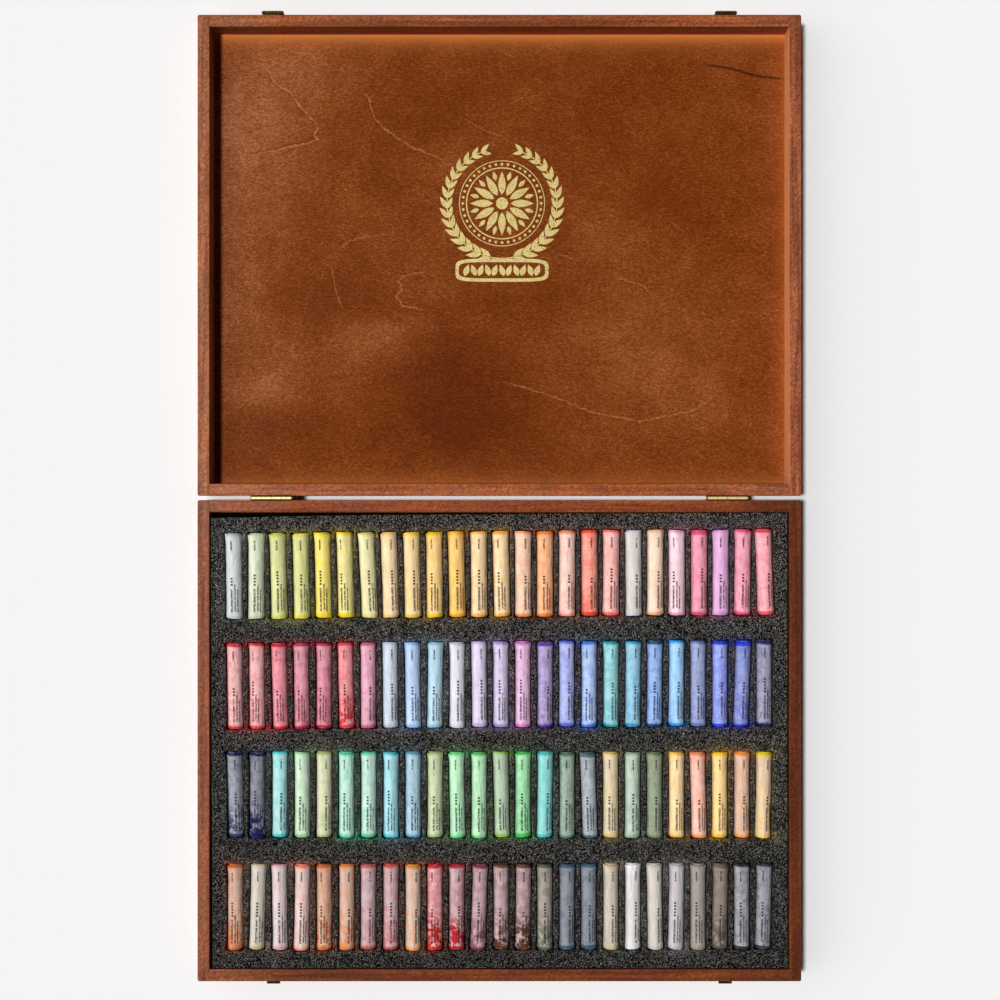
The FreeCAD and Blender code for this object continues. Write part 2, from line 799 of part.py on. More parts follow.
def stick_set(row, number):
    first = (number - 1) * COUNTS["sticks_per_set"]
    x = f"({first} - (sticks_per_row - 1) / 2) * slot_pitch"
    body = new_part(f"pastels_row_{row}_set_{number}", x, row_place(row), "stick_height")
    profile = new_sketch(body, "profile", "XY_Plane")
    end = "stick_length / 2"
    add_outline(
        profile,
        [
            ("0", f"-{end}"),
            ("stick_radius - stick_end_bevel", f"-{end}"),
            ("stick_radius", f"stick_end_bevel - {end}"),
            ("stick_radius", f"{end} - stick_end_bevel"),
            ("stick_radius - stick_end_bevel", end),
            ("0", end),
        ],
    )
    stick = turned(body, "stick", profile, "V_Axis")
    length = "(sticks_per_set - 1) * slot_pitch"
    repeat(body, "set", stick, profile, "sticks_per_set", length)


def wrapper_row(row):
    x = "-(sticks_per_row - 1) / 2 * slot_pitch"
    body = new_part(f"wrappers_row_{row}", x, row_place(row), "stick_height")
    profile = new_sketch(body, "profile", "XY_Plane")
    end = "wrapper_half_length"
    straight = "(wrapper_half_length - wrapper_flare_length)"
    add_outline(
        profile,
        [
            ("flare_radius", f"-{end}"),
            ("wrapper_radius", f"-{straight}"),
            ("wrapper_radius", straight),
            ("flare_radius", end),
            ("flare_bore", end),
            ("wrapper_bore", straight),
            ("wrapper_bore", f"-{straight}"),
            ("flare_bore", f"-{end}"),
        ],
    )
    tube = turned(body, "tube", profile, "V_Axis")
    run = "(sticks_per_row - 1) * slot_pitch"
    repeat(body, "row", tube, profile, "sticks_per_row", run)


def pastels():
    sets = COUNTS["sticks_per_row"] // COUNTS["sticks_per_set"]
    for row in range(1, COUNTS["rows"] + 1):
        for number in range(1, sets + 1):
            stick_set(row, number)
        wrapper_row(row)


frame_and_panel("base", -1)
frame_and_panel("lid", 1)
hinges()
catches()
foam()
pastels()
doc.recompute()

for thing in doc.Objects:
    if "Invalid" in thing.State or "Error" in thing.State:
        raise SystemExit(f"{thing.Label} did not recompute: {thing.State}")
os.makedirs("parts", exist_ok=True)
for part in parts:
    if part.Shape.isNull() or not part.Shape.isValid():
        raise SystemExit(f"{part.Label} has no valid shape")
    part.Shape.exportStep(f"parts/{part.Label}.step")
print(len(parts), "sub-parts written")
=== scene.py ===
import math
import random

import bpy
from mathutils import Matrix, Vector, geometry, noise


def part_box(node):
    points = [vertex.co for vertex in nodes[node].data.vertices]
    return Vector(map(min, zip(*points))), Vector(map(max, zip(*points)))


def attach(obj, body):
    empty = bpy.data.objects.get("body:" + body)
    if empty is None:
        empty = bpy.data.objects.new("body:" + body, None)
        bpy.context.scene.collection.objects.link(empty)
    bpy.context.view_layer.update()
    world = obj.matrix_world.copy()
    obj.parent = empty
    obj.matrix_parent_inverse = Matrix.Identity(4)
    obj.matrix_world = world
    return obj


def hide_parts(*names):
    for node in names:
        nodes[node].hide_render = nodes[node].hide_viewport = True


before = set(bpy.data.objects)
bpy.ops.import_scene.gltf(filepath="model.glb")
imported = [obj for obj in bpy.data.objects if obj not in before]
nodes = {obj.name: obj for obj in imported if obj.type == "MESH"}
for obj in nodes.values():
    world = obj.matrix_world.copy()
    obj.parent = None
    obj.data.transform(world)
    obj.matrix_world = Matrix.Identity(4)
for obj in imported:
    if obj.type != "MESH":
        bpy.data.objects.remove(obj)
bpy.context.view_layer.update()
scene = bpy.context.scene
MM = 0.001


# Camera: straight above the open case, as the photograph is taken, with the middle of the picture
# just below the hinge line. One pixel of the picture is about 0.75 mm at the rims.

PIXEL = 0.75 * MM
PICTURE_SIDE = 1000
CAMERA_DISTANCE = 1160 * MM
SENSOR_WIDTH = 36
RIM_HEIGHT = 24 * MM
CAMERA_X = 0.45 * MM
CAMERA_Y = -1.5 * MM

camera_data = bpy.data.cameras.new("camera")
camera_data.sensor_width = SENSOR_WIDTH
camera_data.lens = SENSOR_WIDTH * CAMERA_DISTANCE / (PICTURE_SIDE * PIXEL)
camera = bpy.data.objects.new("camera", camera_data)
camera.location = (CAMERA_X, CAMERA_Y, RIM_HEIGHT + CAMERA_DISTANCE)
scene.collection.objects.link(camera)
scene.camera = camera


# Studio: a pale seamless floor, one soft key light high on the left, and a pale fill that comes
# mostly from the left too. The levels are set so that a colour comes out about as it is written.

BACKDROP = (0.905, 0.905, 0.905, 1)
FILL_STRENGTH = 0.01
SIDE_FILL = 1.7
KEY_STRENGTH = 2.58
KEY_SPREAD = math.radians(9)
KEY_LEAN = math.radians(17)
KEY_TURN = math.radians(1)
FLOOR_HALF = 3.0
FLOOR_GREYS = (0.89, 0.92)

scene.view_settings.view_transform = "Standard"


class Value:
    """An output of a node. Arithmetic on it adds the nodes that work out the result."""

    def __init__(self, tree, socket):
        self.tree = tree
        self.socket = socket

    def __add__(self, other):
        return calc("ADD", self, other)

    def __sub__(self, other):
        return calc("SUBTRACT", self, other)

    def __rsub__(self, other):
        return calc("SUBTRACT", other, self)

    def __mul__(self, other):
        return calc("MULTIPLY", self, other)

    def __abs__(self):
        return calc("ABSOLUTE", self)


def add_node(tree, kind, inputs=None, **settings):
    """A node with its settings, and with numbers or values of other nodes on its inputs."""
    item = tree.nodes.new(kind)
    for name, setting in settings.items():
        setattr(item, name, setting)
    for name, given in (inputs or {}).items():
        if isinstance(given, Value):
            tree.links.new(given.socket, item.inputs[name])
        else:
            item.inputs[name].default_value = given
    return item


def result(tree, kind, inputs=None, output=0, **settings):
    """One output of a new node, as a value."""
    return Value(tree, add_node(tree, kind, inputs, **settings).outputs[output])


def tree_of(parts):
    return next(part.tree for part in parts if isinstance(part, Value))


def calc(operation, *parts):
    """One step of arithmetic on values and plain numbers."""
    return result(tree_of(parts), "ShaderNodeMath", dict(enumerate(parts)), operation=operation)


def largest(first, *others):
    for other in others:
        first = calc("MAXIMUM", first, other)
    return first


def axes(vector):
    """The three parts of a vector."""
    item = add_node(vector.tree, "ShaderNodeSeparateXYZ", {0: vector})
    return [Value(vector.tree, socket) for socket in item.outputs]


def spread(value, low, high, to_low=0.0, to_high=1.0, smooth=True):
    """A value brought from one range to another, held at its ends."""
    inputs = {"Value": value, "From Min": low, "From Max": high, "To Min": to_low, "To Max": to_high}
    kind = "SMOOTHSTEP" if smooth else "LINEAR"
    return result(value.tree, "ShaderNodeMapRange", inputs, "Result", interpolation_type=kind)


def grey(value):
    return result(value.tree, "ShaderNodeCombineColor", {0: value, 1: value, 2: value})


def cloud(place, scale, detail=3.0, roughness=0.55, distortion=0.0, output="Fac"):
    """Soft random variation between 0 and 1, or three of them at once as a colour."""
    inputs = {"Vector": place, "Scale": scale, "Detail": detail, "Roughness": roughness}
    inputs["Distortion"] = distortion
    return result(place.tree, "ShaderNodeTexNoise", inputs, output)


def new_material(name):
    """An empty material; gives it, its tree, and the place of each point on the piece's own axes."""
    material = bpy.data.materials.new(name)
    material.use_nodes = True
    tree = material.node_tree
    tree.nodes.clear()
    return material, tree, result(tree, "ShaderNodeTexCoord", None, "Object")


def finish_material(tree, inputs):
    surface = result(tree, "ShaderNodeBsdfPrincipled", inputs)
    add_node(tree, "ShaderNodeOutputMaterial", {"Surface": surface})


def mesh_piece(name, points, faces, material, smooth=False):
    mesh = bpy.data.meshes.new(name)
    mesh.from_pydata(points, [], faces)
    mesh.materials.append(material)
    mesh.polygons.foreach_set("use_smooth", [smooth] * len(mesh.polygons))
    mesh.update()
    piece = bpy.data.objects.new(name, mesh)
    scene.collection.objects.link(piece)
    return piece


world = bpy.data.worlds.new("studio")
world.use_nodes = True
scene.world = world
sky = world.node_tree
sky.nodes.clear()
ray = add_node(sky, "ShaderNodeLightPath").outputs
seen = largest(*[Value(sky, ray[f"Is {kind} Ray"]) for kind in ("Camera", "Glossy", "Transmission")])
leftward = axes(result(sky, "ShaderNodeTexCoord", None, "Generated"))[0] * -1.0
side_fill = calc("POWER", largest(leftward, 0.0), 2.0) * SIDE_FILL + FILL_STRENGTH
fill = result(sky, "ShaderNodeBackground", {"Color": (1, 1, 1, 1), "Strength": side_fill})
shown = result(sky, "ShaderNodeBackground", {"Color": BACKDROP, "Strength": 1.0})
both = result(sky, "ShaderNodeMixShader", {0: seen, 1: fill, 2: shown})
add_node(sky, "ShaderNodeOutputWorld", {"Surface": both})

key_data = bpy.data.lights.new("key", "SUN")
key_data.energy = KEY_STRENGTH
key_data.angle = KEY_SPREAD
key = bpy.data.objects.new("key", key_data)
key.rotation_euler = (KEY_TURN, -KEY_LEAN, 0)
scene.collection.objects.link(key)


def floor_paper():
    material, tree, place = new_material("floor_paper")
    tone = grey(spread(cloud(place, 900.0), 0.3, 0.7, *FLOOR_GREYS))
    finish_material(tree, {"Base Color": tone, "Roughness": 0.9, "Specular IOR Level": 0.1})
    return material


floor_corners = [(x * FLOOR_HALF, y * FLOOR_HALF, 0) for x, y in ((-1, -1), (1, -1), (1, 1), (-1, 1))]
floor = mesh_piece("floor", floor_corners, [(0, 1, 2, 3)], floor_paper())


# Rails of the base and of the lid: finger-jointed hardwood, stained red-brown and varnished to a
# satin shine. The grain runs along each rail and its ends show darker end grain in the joints.

RAIL_STAINS = {
    "base_back_rail": (139, 67, 30),
    "base_front_rail": (112, 55, 26),
    "base_left_rail": (144, 81, 52),
    "base_right_rail": (99, 47, 21),
    "lid_back_rail": (163, 88, 48),
    "lid_front_rail": (149, 80, 43),
    "lid_left_rail": (162, 97, 62),
    "lid_right_rail": (153, 86, 54),
}
DARK_STREAK = (0.62, 0.5, 0.42)
LIGHT_STREAK = (1.28, 1.36, 1.45)
# The lid's right rail has painted light on its inner face, the face turned towards the key light.
PAINTED_LIGHT_RAIL = "lid_right_rail"
PAINTED_LIGHT_INNER_FACE = (214, 136, 88)
RUBBED_WOOD = (196, 134, 94)
CORNER_START = 150 * MM
CORNER_END = 214 * MM


def vector_calc(operation, *parts):
    output = "Value" if operation == "DOT_PRODUCT" else "Vector"
    inputs = dict(enumerate(parts))
    return result(tree_of(parts), "ShaderNodeVectorMath", inputs, output, operation=operation)


def vector_of(x, y, z):
    return result(tree_of((x, y, z)), "ShaderNodeCombineXYZ", {0: x, 1: y, 2: z})


def stretched(place, x, y, z):
    return vector_calc("MULTIPLY", place, (x, y, z))


def mix_colour(share, one, other, way="MIX"):
    inputs = {0: share, 6: one, 7: other}
    settings = {"data_type": "RGBA", "blend_type": way, "clamp_factor": True}
    return result(tree_of(inputs.values()), "ShaderNodeMix", inputs, 2, **settings)


def shaded(colour, share):
    """A colour made darker or lighter from place to place."""
    return mix_colour(1.0, colour, grey(share), "MULTIPLY")


def screen(red, green, blue):
    """A colour named by its screen values, 0 to 255."""
    parts = [value / 255 for value in (red, green, blue)]
    return tuple(p / 12.92 if p < 0.04045 else ((p + 0.055) / 1.055) ** 2.4 for p in parts) + (1.0,)


def scaled(colour, share):
    return tuple(min(1.0, part * share) for part in colour[:3]) + (1.0,)


def relief(height, depth):
    """A normal that follows a height from 0 to 1, so many metres deep."""
    inputs = {"Height": height, "Distance": depth, "Strength": 1.0}
    return result(height.tree, "ShaderNodeBump", inputs, "Normal")


def dress(piece, material):
    piece.data.materials.clear()
    piece.data.materials.append(material)


def new_group(name, inputs, outputs):
    """A shader node group with named sockets; gives its tree, and its inputs as values."""
    group = bpy.data.node_groups.new(name, "ShaderNodeTree")
    for label, kind in inputs.items():
        group.interface.new_socket(label, in_out="INPUT", socket_type="NodeSocket" + kind)
    for label in outputs:
        group.interface.new_socket(label, in_out="OUTPUT", socket_type="NodeSocketFloat")
    start = group.nodes.new("NodeGroupInput").outputs
    return group, {label: Value(group, start[label]) for label in inputs}


def use_group(tree, group, inputs):
    """The named outputs of a node group that is set into another tree."""
    item = add_node(tree, "ShaderNodeGroup", inputs, node_tree=group)
    return {socket.name: Value(tree, socket) for socket in item.outputs}


def wood_grain_group():
    inputs = {"Place": "Vector", "Along": "Float", "Across": "Float"}
    group, start = new_group("wood_grain", inputs, ("Streak", "Pore", "Mottle"))
    size = vector_of(start["Along"], start["Across"], start["Across"])
    long_place = vector_calc("MULTIPLY", start["Place"], size)
    pore = cloud(stretched(long_place, 40.0, 5.5, 5.5), 1.0, 2.0, 0.5)
    add_node(group, "NodeGroupOutput", {
        "Streak": cloud(long_place, 1.0, 6.0, 0.6, 0.6),
        "Pore": spread(pore, 0.35, 0.65),
        "Mottle": cloud(start["Place"], 38.0, 3.0, 0.5, 0.4),
    })
    return group


# An edge mask: rubbed wear on the rails, rubbed brass with a painted glint on the catches, and painted shade
# on the hinge edges.
def edge_wear_group():
    group, start = new_group("edge_wear_and_shade", {"Place": "Vector", "Width": "Float"}, ("Wear And Shade",))
    rounded = result(group, "ShaderNodeBevel", {"Radius": start["Width"]}, samples=4)
    true_side = result(group, "ShaderNodeNewGeometry", None, "Normal")
    rub = (1.0 - vector_calc("DOT_PRODUCT", rounded, true_side)) * 6.0
    patch = spread(cloud(start["Place"], 130.0, 4.0, 0.6), 0.35, 0.62)
    add_node(group, "NodeGroupOutput", {"Wear And Shade": spread(rub, 0.0, 1.0) * patch})
    return group


wood_grain = wood_grain_group()
edge_wear_and_shade = edge_wear_group()


def own_normal(tree):
    """The three parts of the direction that each face has on the piece's own axes."""
    return axes(result(tree, "ShaderNodeTexCoord", None, "Normal"))


def turned_place(place, degrees):
    turn = (0, 0, math.radians(degrees))
    return result(place.tree, "ShaderNodeMapping", {"Vector": place, "Rotation": turn})


def streaked(streak, stain):
    """A stain from its dark streaks to its light ones."""
    base = screen(*stain)
    dark = tuple(part * share for part, share in zip(base, DARK_STREAK)) + (1,)
    light = tuple(part * share for part, share in zip(base, LIGHT_STREAK)) + (1,)
    return mix_colour(streak, dark, light)


def rail_material(name, stain, is_side, neighbours):
    material, tree, place = new_material(name + "_stain")
    lengthwise = turned_place(place, 90 if is_side else 0)
    grain = use_group(tree, wood_grain, {"Place": lengthwise, "Along": 9.0, "Across": 240.0})
    streak = spread(grain["Streak"], 0.3, 0.7)
    colour = streaked(streak, stain)
    for side, neighbour in zip((-1, 1), neighbours):
        at_corner = spread(axes(place)[0] * side, CORNER_START, CORNER_END)
        colour = mix_colour(at_corner, colour, streaked(streak, neighbour))
    fleck = spread(grain["Pore"], 0.0, 0.45, 0.72, 1.0) * spread(grain["Mottle"], 0.3, 0.7, 0.85, 1.1)
    curl = cloud(stretched(turned_place(place, -40), 330.0, 950.0, 950.0), 1.0, 3.0, 0.7, 0.4)
    colour = shaded(colour, fleck * spread(curl, 0.36, 0.64, 0.66, 1.36))
    hues = stretched(cloud(place, 330.0, 2.0, 0.5, output="Color"), 0.5, 0.8, 1.2)
    colour = mix_colour(1.0, colour, vector_calc("ADD", hues, (0.75, 0.6, 0.4)), "MULTIPLY")
    facing = own_normal(tree)
    rings = spread(cloud(place, 420.0, 5.0, 0.7), 0.35, 0.65)
    end_grain = mix_colour(rings, scaled(screen(*stain), 0.3), scaled(screen(*stain), 0.7))
    colour = mix_colour(spread(abs(facing[1 if is_side else 0]), 0.75, 0.95), colour, end_grain)
    # Painted light: the inner face of this rail is painted paler, as if lit by the key light.
    if name == PAINTED_LIGHT_RAIL:
        painted_light_face = spread(facing[0], -0.95, -0.75, 1.0, 0.0)
        colour = mix_colour(painted_light_face, colour, screen(*PAINTED_LIGHT_INNER_FACE))
    wear_and_shade = use_group(tree, edge_wear_and_shade, {"Place": place, "Width": 0.8 * MM})["Wear And Shade"]
    finish_material(tree, {
        "Base Color": mix_colour(wear_and_shade * 0.45, colour, screen(*RUBBED_WOOD)),
        "Roughness": spread(grain["Mottle"], 0.3, 0.7, 0.42, 0.6),
        "Specular IOR Level": 0.07,
        "Normal": relief(grain["Streak"] * 0.4 + grain["Pore"] * 0.6, 0.025 * MM),
        "Coat Weight": 0.02,
        "Coat Roughness": 0.3,
    })
    return material


for rail, rail_stain in RAIL_STAINS.items():
    runs_deep = "left" in rail or "right" in rail
    half = rail.split("_")[0]
    neighbours = [] if runs_deep else [RAIL_STAINS[f"{half}_{side}_rail"] for side in ("left", "right")]
    dress(nodes[rail], rail_material(rail, rail_stain, runs_deep, neighbours))


# Panels: thin rotary-cut plywood let into rabbets in the rails. The red-brown stain takes blotchily
# on it, with fine flecks across the grain, and pale curls of figure and a dark streak on the lid.

PANEL_STEP = 4 * MM
VEIN_FADE = 9 * MM
NO_VEIN = (6.0, 0.0)
EDGE_GLOWS = (0.35, 2.0, 0.6)
GLOW_FADE = 5 * MM
LID_TOP_ROW = 14.5
PHOTO_LID_TOP = 16.3
LID_STRETCH = 481.4 / 477.1
PLY_STAINS = ((0.0, (88, 32, 0)), (0.40, (119, 55, 12)), (0.70, (144, 79, 39)), (1.0, (178, 112, 78)))
VEIN_PALE = (200, 130, 78)
VEIN_SHADOW = (84, 32, 6)
DARK_VEIN = (56, 18, 4)
WALL_GLOW = (212, 122, 62)

# Each vein has its strength, below zero for a dark streak, and its route in pixels of the picture.
VEINS = (
    (1.0, [(261, 68), (269, 71), (272, 81), (280, 88), (290, 93), (294, 100), (304, 112), (314, 122),
           (318, 129), (314, 135), (319, 139), (307, 144), (290, 147), (276, 151), (253, 155), (245, 161)]),
    (0.9, [(363, 93), (370, 100), (371, 110), (375, 119), (384, 129), (398, 139), (412, 148), (427, 154),
           (443, 160)]),
    (0.45, [(461, 117), (476, 127), (508, 141)]),
    (0.45, [(331, 255), (349, 241), (374, 235), (390, 233)]),
    (0.8, [(429, 271), (406, 274), (396, 281), (404, 287), (396, 295), (402, 305), (427, 310)]),
    (0.6, [(331, 262), (334, 281), (338, 299), (345, 311)]),
    (0.7, [(504, 381), (521, 385), (541, 391), (561, 398), (578, 405), (592, 411), (617, 415), (639, 420),
           (665, 415), (694, 409), (714, 395)]),
    (0.6, [(555, 253), (582, 261)]),
    (0.5, [(610, 275), (641, 284), (653, 295), (653, 301)]),
    (0.6, [(496, 50), (519, 61)]),
    (0.5, [(641, 55), (659, 70)]),
    (0.5, [(612, 94), (623, 110)]),
    (0.4, [(531, 128), (543, 135)]),
    (0.5, [(576, 220), (604, 231)]),
    (0.4, [(666, 218), (686, 233)]),
    (-1.0, [(700, 65), (725, 69), (739, 72), (755, 77), (790, 81)]),
)

# Each patch has its column, row, width and height in pixels, and how much paler it makes the stain.
STAIN_PATCHES = (
    (250, 110, 70, 90, 0.30), (240, 220, 45, 90, 0.24), (320, 70, 60, 40, 0.15),
    (240, 330, 40, 60, 0.20), (370, 345, 50, 22, 0.24), (272, 388, 42, 24, 0.30),
    (405, 326, 36, 12, 0.14), (600, 320, 90, 60, 0.10), (665, 385, 90, 60, 0.16),
    (500, 180, 90, 60, 0.04), (430, 95, 60, 50, -0.12), (640, 62, 60, 36, -0.12),
    (600, 130, 90, 50, -0.08), (450, 365, 55, 40, -0.28), (430, 430, 75, 40, -0.26),
    (300, 430, 50, 28, -0.12), (500, 410, 60, 50, -0.18), (540, 300, 60, 26, -0.16),
    (330, 290, 50, 26, -0.14), (690, 210, 60, 60, -0.06),
)


def lid_place(column, row, height):
    """Where a pixel of the picture falls at a height above the floor of the studio."""
    share = PIXEL * (CAMERA_DISTANCE + RIM_HEIGHT - height) / CAMERA_DISTANCE
    row = LID_TOP_ROW + (row - PHOTO_LID_TOP) * LID_STRETCH
    middle = PICTURE_SIDE / 2
    return Vector((CAMERA_X + (column - middle) * share, CAMERA_Y + (middle - row) * share))


def beside_route(point, route):
    """Signed distance from a route, and how far inside its ends the nearest place on it is."""
    nearest = None
    travelled = 0.0
    length = sum((b - a).length for a, b in zip(route, route[1:]))
    for number, (a, b) in enumerate(zip(route, route[1:])):
        step = b - a
        reach = step.length
        share = (point - a).dot(step) / reach**2
        held = min(1.0, max(0.0, share))
        away = (point - (a + step * held)).length
        if nearest is None or away < nearest[0] - 1e-9:
            ahead = step.normalized()
            if share > 1 and number + 2 < len(route):
                ahead = ahead + (route[number + 2] - b).normalized()
            if share < 0 and number:
                ahead = ahead + (a - route[number - 1]).normalized()
            foot = a + step * held
            side = ahead.x * (point - foot).y - ahead.y * (point - foot).x
            inside = min(travelled + reach * held, length - travelled - reach * held)
            nearest = (away, math.copysign(away, side), inside)
        travelled += reach
    return nearest[1], nearest[2]


def panel_slab(name, material):
    """The CAD panel's own box, with its two broad faces divided into small squares."""
    low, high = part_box(name)
    across = round((high.x - low.x) / PANEL_STEP)
    deep = round((high.y - low.y) / PANEL_STEP)
    points = []
    for z in (low.z, high.z):
        for row in range(deep + 1):
            y = low.y + (high.y - low.y) * row / deep
            points += [(low.x + (high.x - low.x) * column / across, y, z) for column in range(across + 1)]
    wide = across + 1
    layer = wide * (deep + 1)
    faces = []
    for row in range(deep):
        for first in range(row * wide, row * wide + across):
            faces.append((first, first + wide, first + wide + 1, first + 1))
            faces.append((layer + first, layer + first + 1, layer + first + wide + 1, layer + first + wide))
    rim = list(range(across))
    rim += [row * wide + across for row in range(deep)]
    rim += [deep * wide + column for column in range(across, 0, -1)]
    rim += [row * wide for row in range(deep, 0, -1)]
    faces += [(a, b, b + layer, a + layer) for a, b in zip(rim, rim[1:] + rim[:1])]
    return mesh_piece(name + "_ply", points, faces, material)


def own_value(tree, name, output="Fac"):
    """What each point of a mesh holds under this name."""
    return result(tree, "ShaderNodeAttribute", None, output, attribute_name=name)


def keep_values(mesh, name, kind, rows):
    """Stores a value on each point of a mesh, for its material or a geometry tree to read."""
    field = {"FLOAT": "value", "FLOAT_COLOR": "color", "FLOAT_VECTOR": "vector"}[kind]
    flat = rows if kind == "FLOAT" else [part for row in rows for part in row]
    mesh.attributes.new(name, kind, "POINT").data.foreach_set(field, flat)


def veined(tree, place, colour):
    """The stained ply with its figure and glow; gives the colour and the pale lines."""
    away, strength = own_value(tree, "vein"), own_value(tree, "vein_strength")
    beside = away + (cloud(place, 250.0, 5.0, 0.85) * 8.0 - 4.0)
    broken = spread(cloud(place, 420.0, 2.0), 0.32, 0.55, 0.25, 1.0)
    shown = largest(strength, 0.0) * broken
    pale = spread(abs(beside), 0.2, 0.8, 1.0, 0.0) * shown
    shadow = spread(abs(beside + 1.1), 0.2, 1.1, 1.0, 0.0) * shown
    dark = spread(abs(away), 0.5, 1.3, 1.0, 0.0) * largest(strength * -1.0, 0.0)
    colour = mix_colour(shadow * 0.6, colour, screen(*VEIN_SHADOW))
    colour = mix_colour(pale * 0.75, colour, screen(*VEIN_PALE))
    colour = mix_colour(dark * 0.8, colour, screen(*DARK_VEIN))
    return mix_colour(own_value(tree, "glow") * 0.55, colour, screen(*WALL_GLOW)), pale


def panel_material(name, figured):
    material, tree, place = new_material(name)
    grain = use_group(tree, wood_grain, {"Place": place, "Along": 60.0, "Across": 190.0})
    warp = stretched(cloud(place, 24.0, 3.0, 0.5, output="Color"), 0.006, 0.022, 0.0)
    fleck = cloud(stretched(vector_calc("ADD", place, warp), 360.0, 1080.0, 1080.0), 1.0, 3.0, 0.65)
    speck = cloud(stretched(place, 1100.0, 1900.0, 1900.0), 1.0, 1.0, 0.5)
    blotch = cloud(place, 16.0, 4.0, 0.6, 0.8)
    depth = (blotch - 0.5) * 0.44 + (grain["Mottle"] - 0.5) * 0.35
    depth = depth + (fleck - 0.5) * 1.25 + (speck - 0.5) + 0.40
    if figured:
        depth = depth + own_value(tree, "stain")
    ramp = add_node(tree, "ShaderNodeValToRGB", {"Fac": depth})
    stops = ramp.color_ramp.elements
    for position, _ in PLY_STAINS[1:-1]:
        stops.new(position)
    for stop, (_, shade) in zip(stops, PLY_STAINS):
        stop.color = screen(*shade)
    colour = Value(tree, ramp.outputs["Color"])
    height = speck * 0.4 + fleck * 0.6
    if figured:
        colour, pale = veined(tree, place, colour)
        height = height + pale
    finish_material(tree, {
        "Base Color": colour,
        "Roughness": spread(blotch, 0.3, 0.7, 0.45, 0.6),
        "Specular IOR Level": 0.025,
        "Normal": relief(height, 0.07 * MM),
    })
    return material


lid_panel = panel_slab("lid_panel", panel_material("lid_ply", True))
panel_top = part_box("lid_panel")[1].z
recess_low = Vector((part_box("lid_left_rail")[1].x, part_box("lid_back_rail")[1].y))
recess_high = Vector((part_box("lid_right_rail")[0].x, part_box("lid_front_rail")[0].y))
routes = [(strength, [lid_place(*spot, panel_top) for spot in route]) for strength, route in VEINS]
patches = []
for column, row, wide, tall, amount in STAIN_PATCHES:
    patches.append((lid_place(column, row, panel_top), wide * PIXEL, tall * PIXEL, amount))


def vein_at(spot):
    """Millimetres from this spot to the nearest vein, and how strongly it shows here."""
    beside, strength = NO_VEIN
    near = 2 * VEIN_FADE
    for amount, route in routes:
        across = min(p.x for p in route) - near < spot.x < max(p.x for p in route) + near
        deep = min(p.y for p in route) - near < spot.y < max(p.y for p in route) + near
        if across and deep:
            away, inside = beside_route(spot, route)
            held = min(1.0, max(0.0, 2.2 - 2 * abs(away) / VEIN_FADE))
            if abs(away) < 1.6 * VEIN_FADE and (strength == 0 or abs(away / MM) < abs(beside)):
                beside = away / MM
                strength = amount * min(1.0, inside / VEIN_FADE) * held
    return beside, strength


def stain_at(spot):
    stain = 0.0
    for middle, wide, tall, amount in patches:
        gone = ((spot.x - middle.x) / wide) ** 2 + ((spot.y - middle.y) / tall) ** 2
        stain += amount * math.exp(-gone)
    return stain


def glow_at(spot):
    """Light from the recess's right, front and back walls on the panel at their feet."""
    feet = (recess_high.x - spot.x, recess_high.y - spot.y, spot.y - recess_low.y)
    return max(amount * math.exp(-max(0.0, away) / GLOW_FADE) for away, amount in zip(feet, EDGE_GLOWS))


marks = {"vein": [], "vein_strength": [], "stain": [], "glow": []}
for vertex in lid_panel.data.vertices:
    spot = vertex.co.xy
    inside = vertex.co.z > panel_top / 2
    figures = (*vein_at(spot), stain_at(spot), glow_at(spot)) if inside else (*NO_VEIN, 0.0, 0.0)
    for kept, figure in zip(marks.values(), figures):
        kept.append(figure)
for mark, values in marks.items():
    keep_values(lid_panel.data, mark, "FLOAT", values)
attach(lid_panel, "lid")
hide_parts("lid_panel")
dress(nodes["base_panel"], panel_material("base_ply", False))


# Gold ornament printed on the inside of the lid: a plain laurel wreath round a many-petalled
# rosette, with a beaded ring between two fine lines, over a tablet of leaves, in pale gold foil.

FOIL_THICKNESS = 0.08 * MM
EMBLEM_COLUMN, EMBLEM_ROW = 502, 203.5
WREATH_RADIUS = 42 * MM
STEM_HALF_WIDTH = 0.4 * MM
WREATH_PAIRS = 15
FIRST_PAIR, PAIR_STEP = math.radians(12), math.radians(10.4)
OUTER_LEAN, INNER_LEAN = math.radians(26), math.radians(30)
RING_EDGES = {"gold_ring": (26.6 * MM, 27.5 * MM), "gold_ring_outer": (32.2 * MM, 32.8 * MM)}
BEAD_COUNT = 40
BEAD_ORBIT = 29.9 * MM
PETAL_COUNT = 12
TABLET_DROP = 51 * MM
TABLET_LEAF = 9.2 * MM
DOWN = math.radians(-90)
FULL_CIRCLE = 0.9999


def new_tree(name, inputs):
    """A geometry tree with named inputs; gives its inputs as values."""
    tree = bpy.data.node_groups.new(name, "GeometryNodeTree")
    tree.interface.new_socket("Geometry", in_out="OUTPUT", socket_type="NodeSocketGeometry")
    tree.interface.new_socket("Geometry", in_out="INPUT", socket_type="NodeSocketGeometry")
    for label, kind in inputs.items():
        tree.interface.new_socket(label, in_out="INPUT", socket_type="NodeSocket" + kind)
    start = tree.nodes.new("NodeGroupInput").outputs
    return tree, {label: Value(tree, start[label]) for label in ("Geometry", *inputs)}


def end_tree(mesh, material):
    made = result(mesh.tree, "GeometryNodeSetMaterial", {"Geometry": mesh, "Material": material})
    add_node(mesh.tree, "NodeGroupOutput", {"Geometry": made})


def own_field(tree, name, kind="FLOAT"):
    inputs = {"Name": name}
    return result(tree, "GeometryNodeInputNamedAttribute", inputs, "Attribute", data_type=kind)


def copied(points, shape, **inputs):
    """A copy of a shape at every point, made into one mesh that keeps the points' values."""
    inputs = {"Points": points, "Instance": shape, **inputs}
    copies = result(points.tree, "GeometryNodeInstanceOnPoints", inputs)
    return result(points.tree, "GeometryNodeRealizeInstances", {"Geometry": copies})


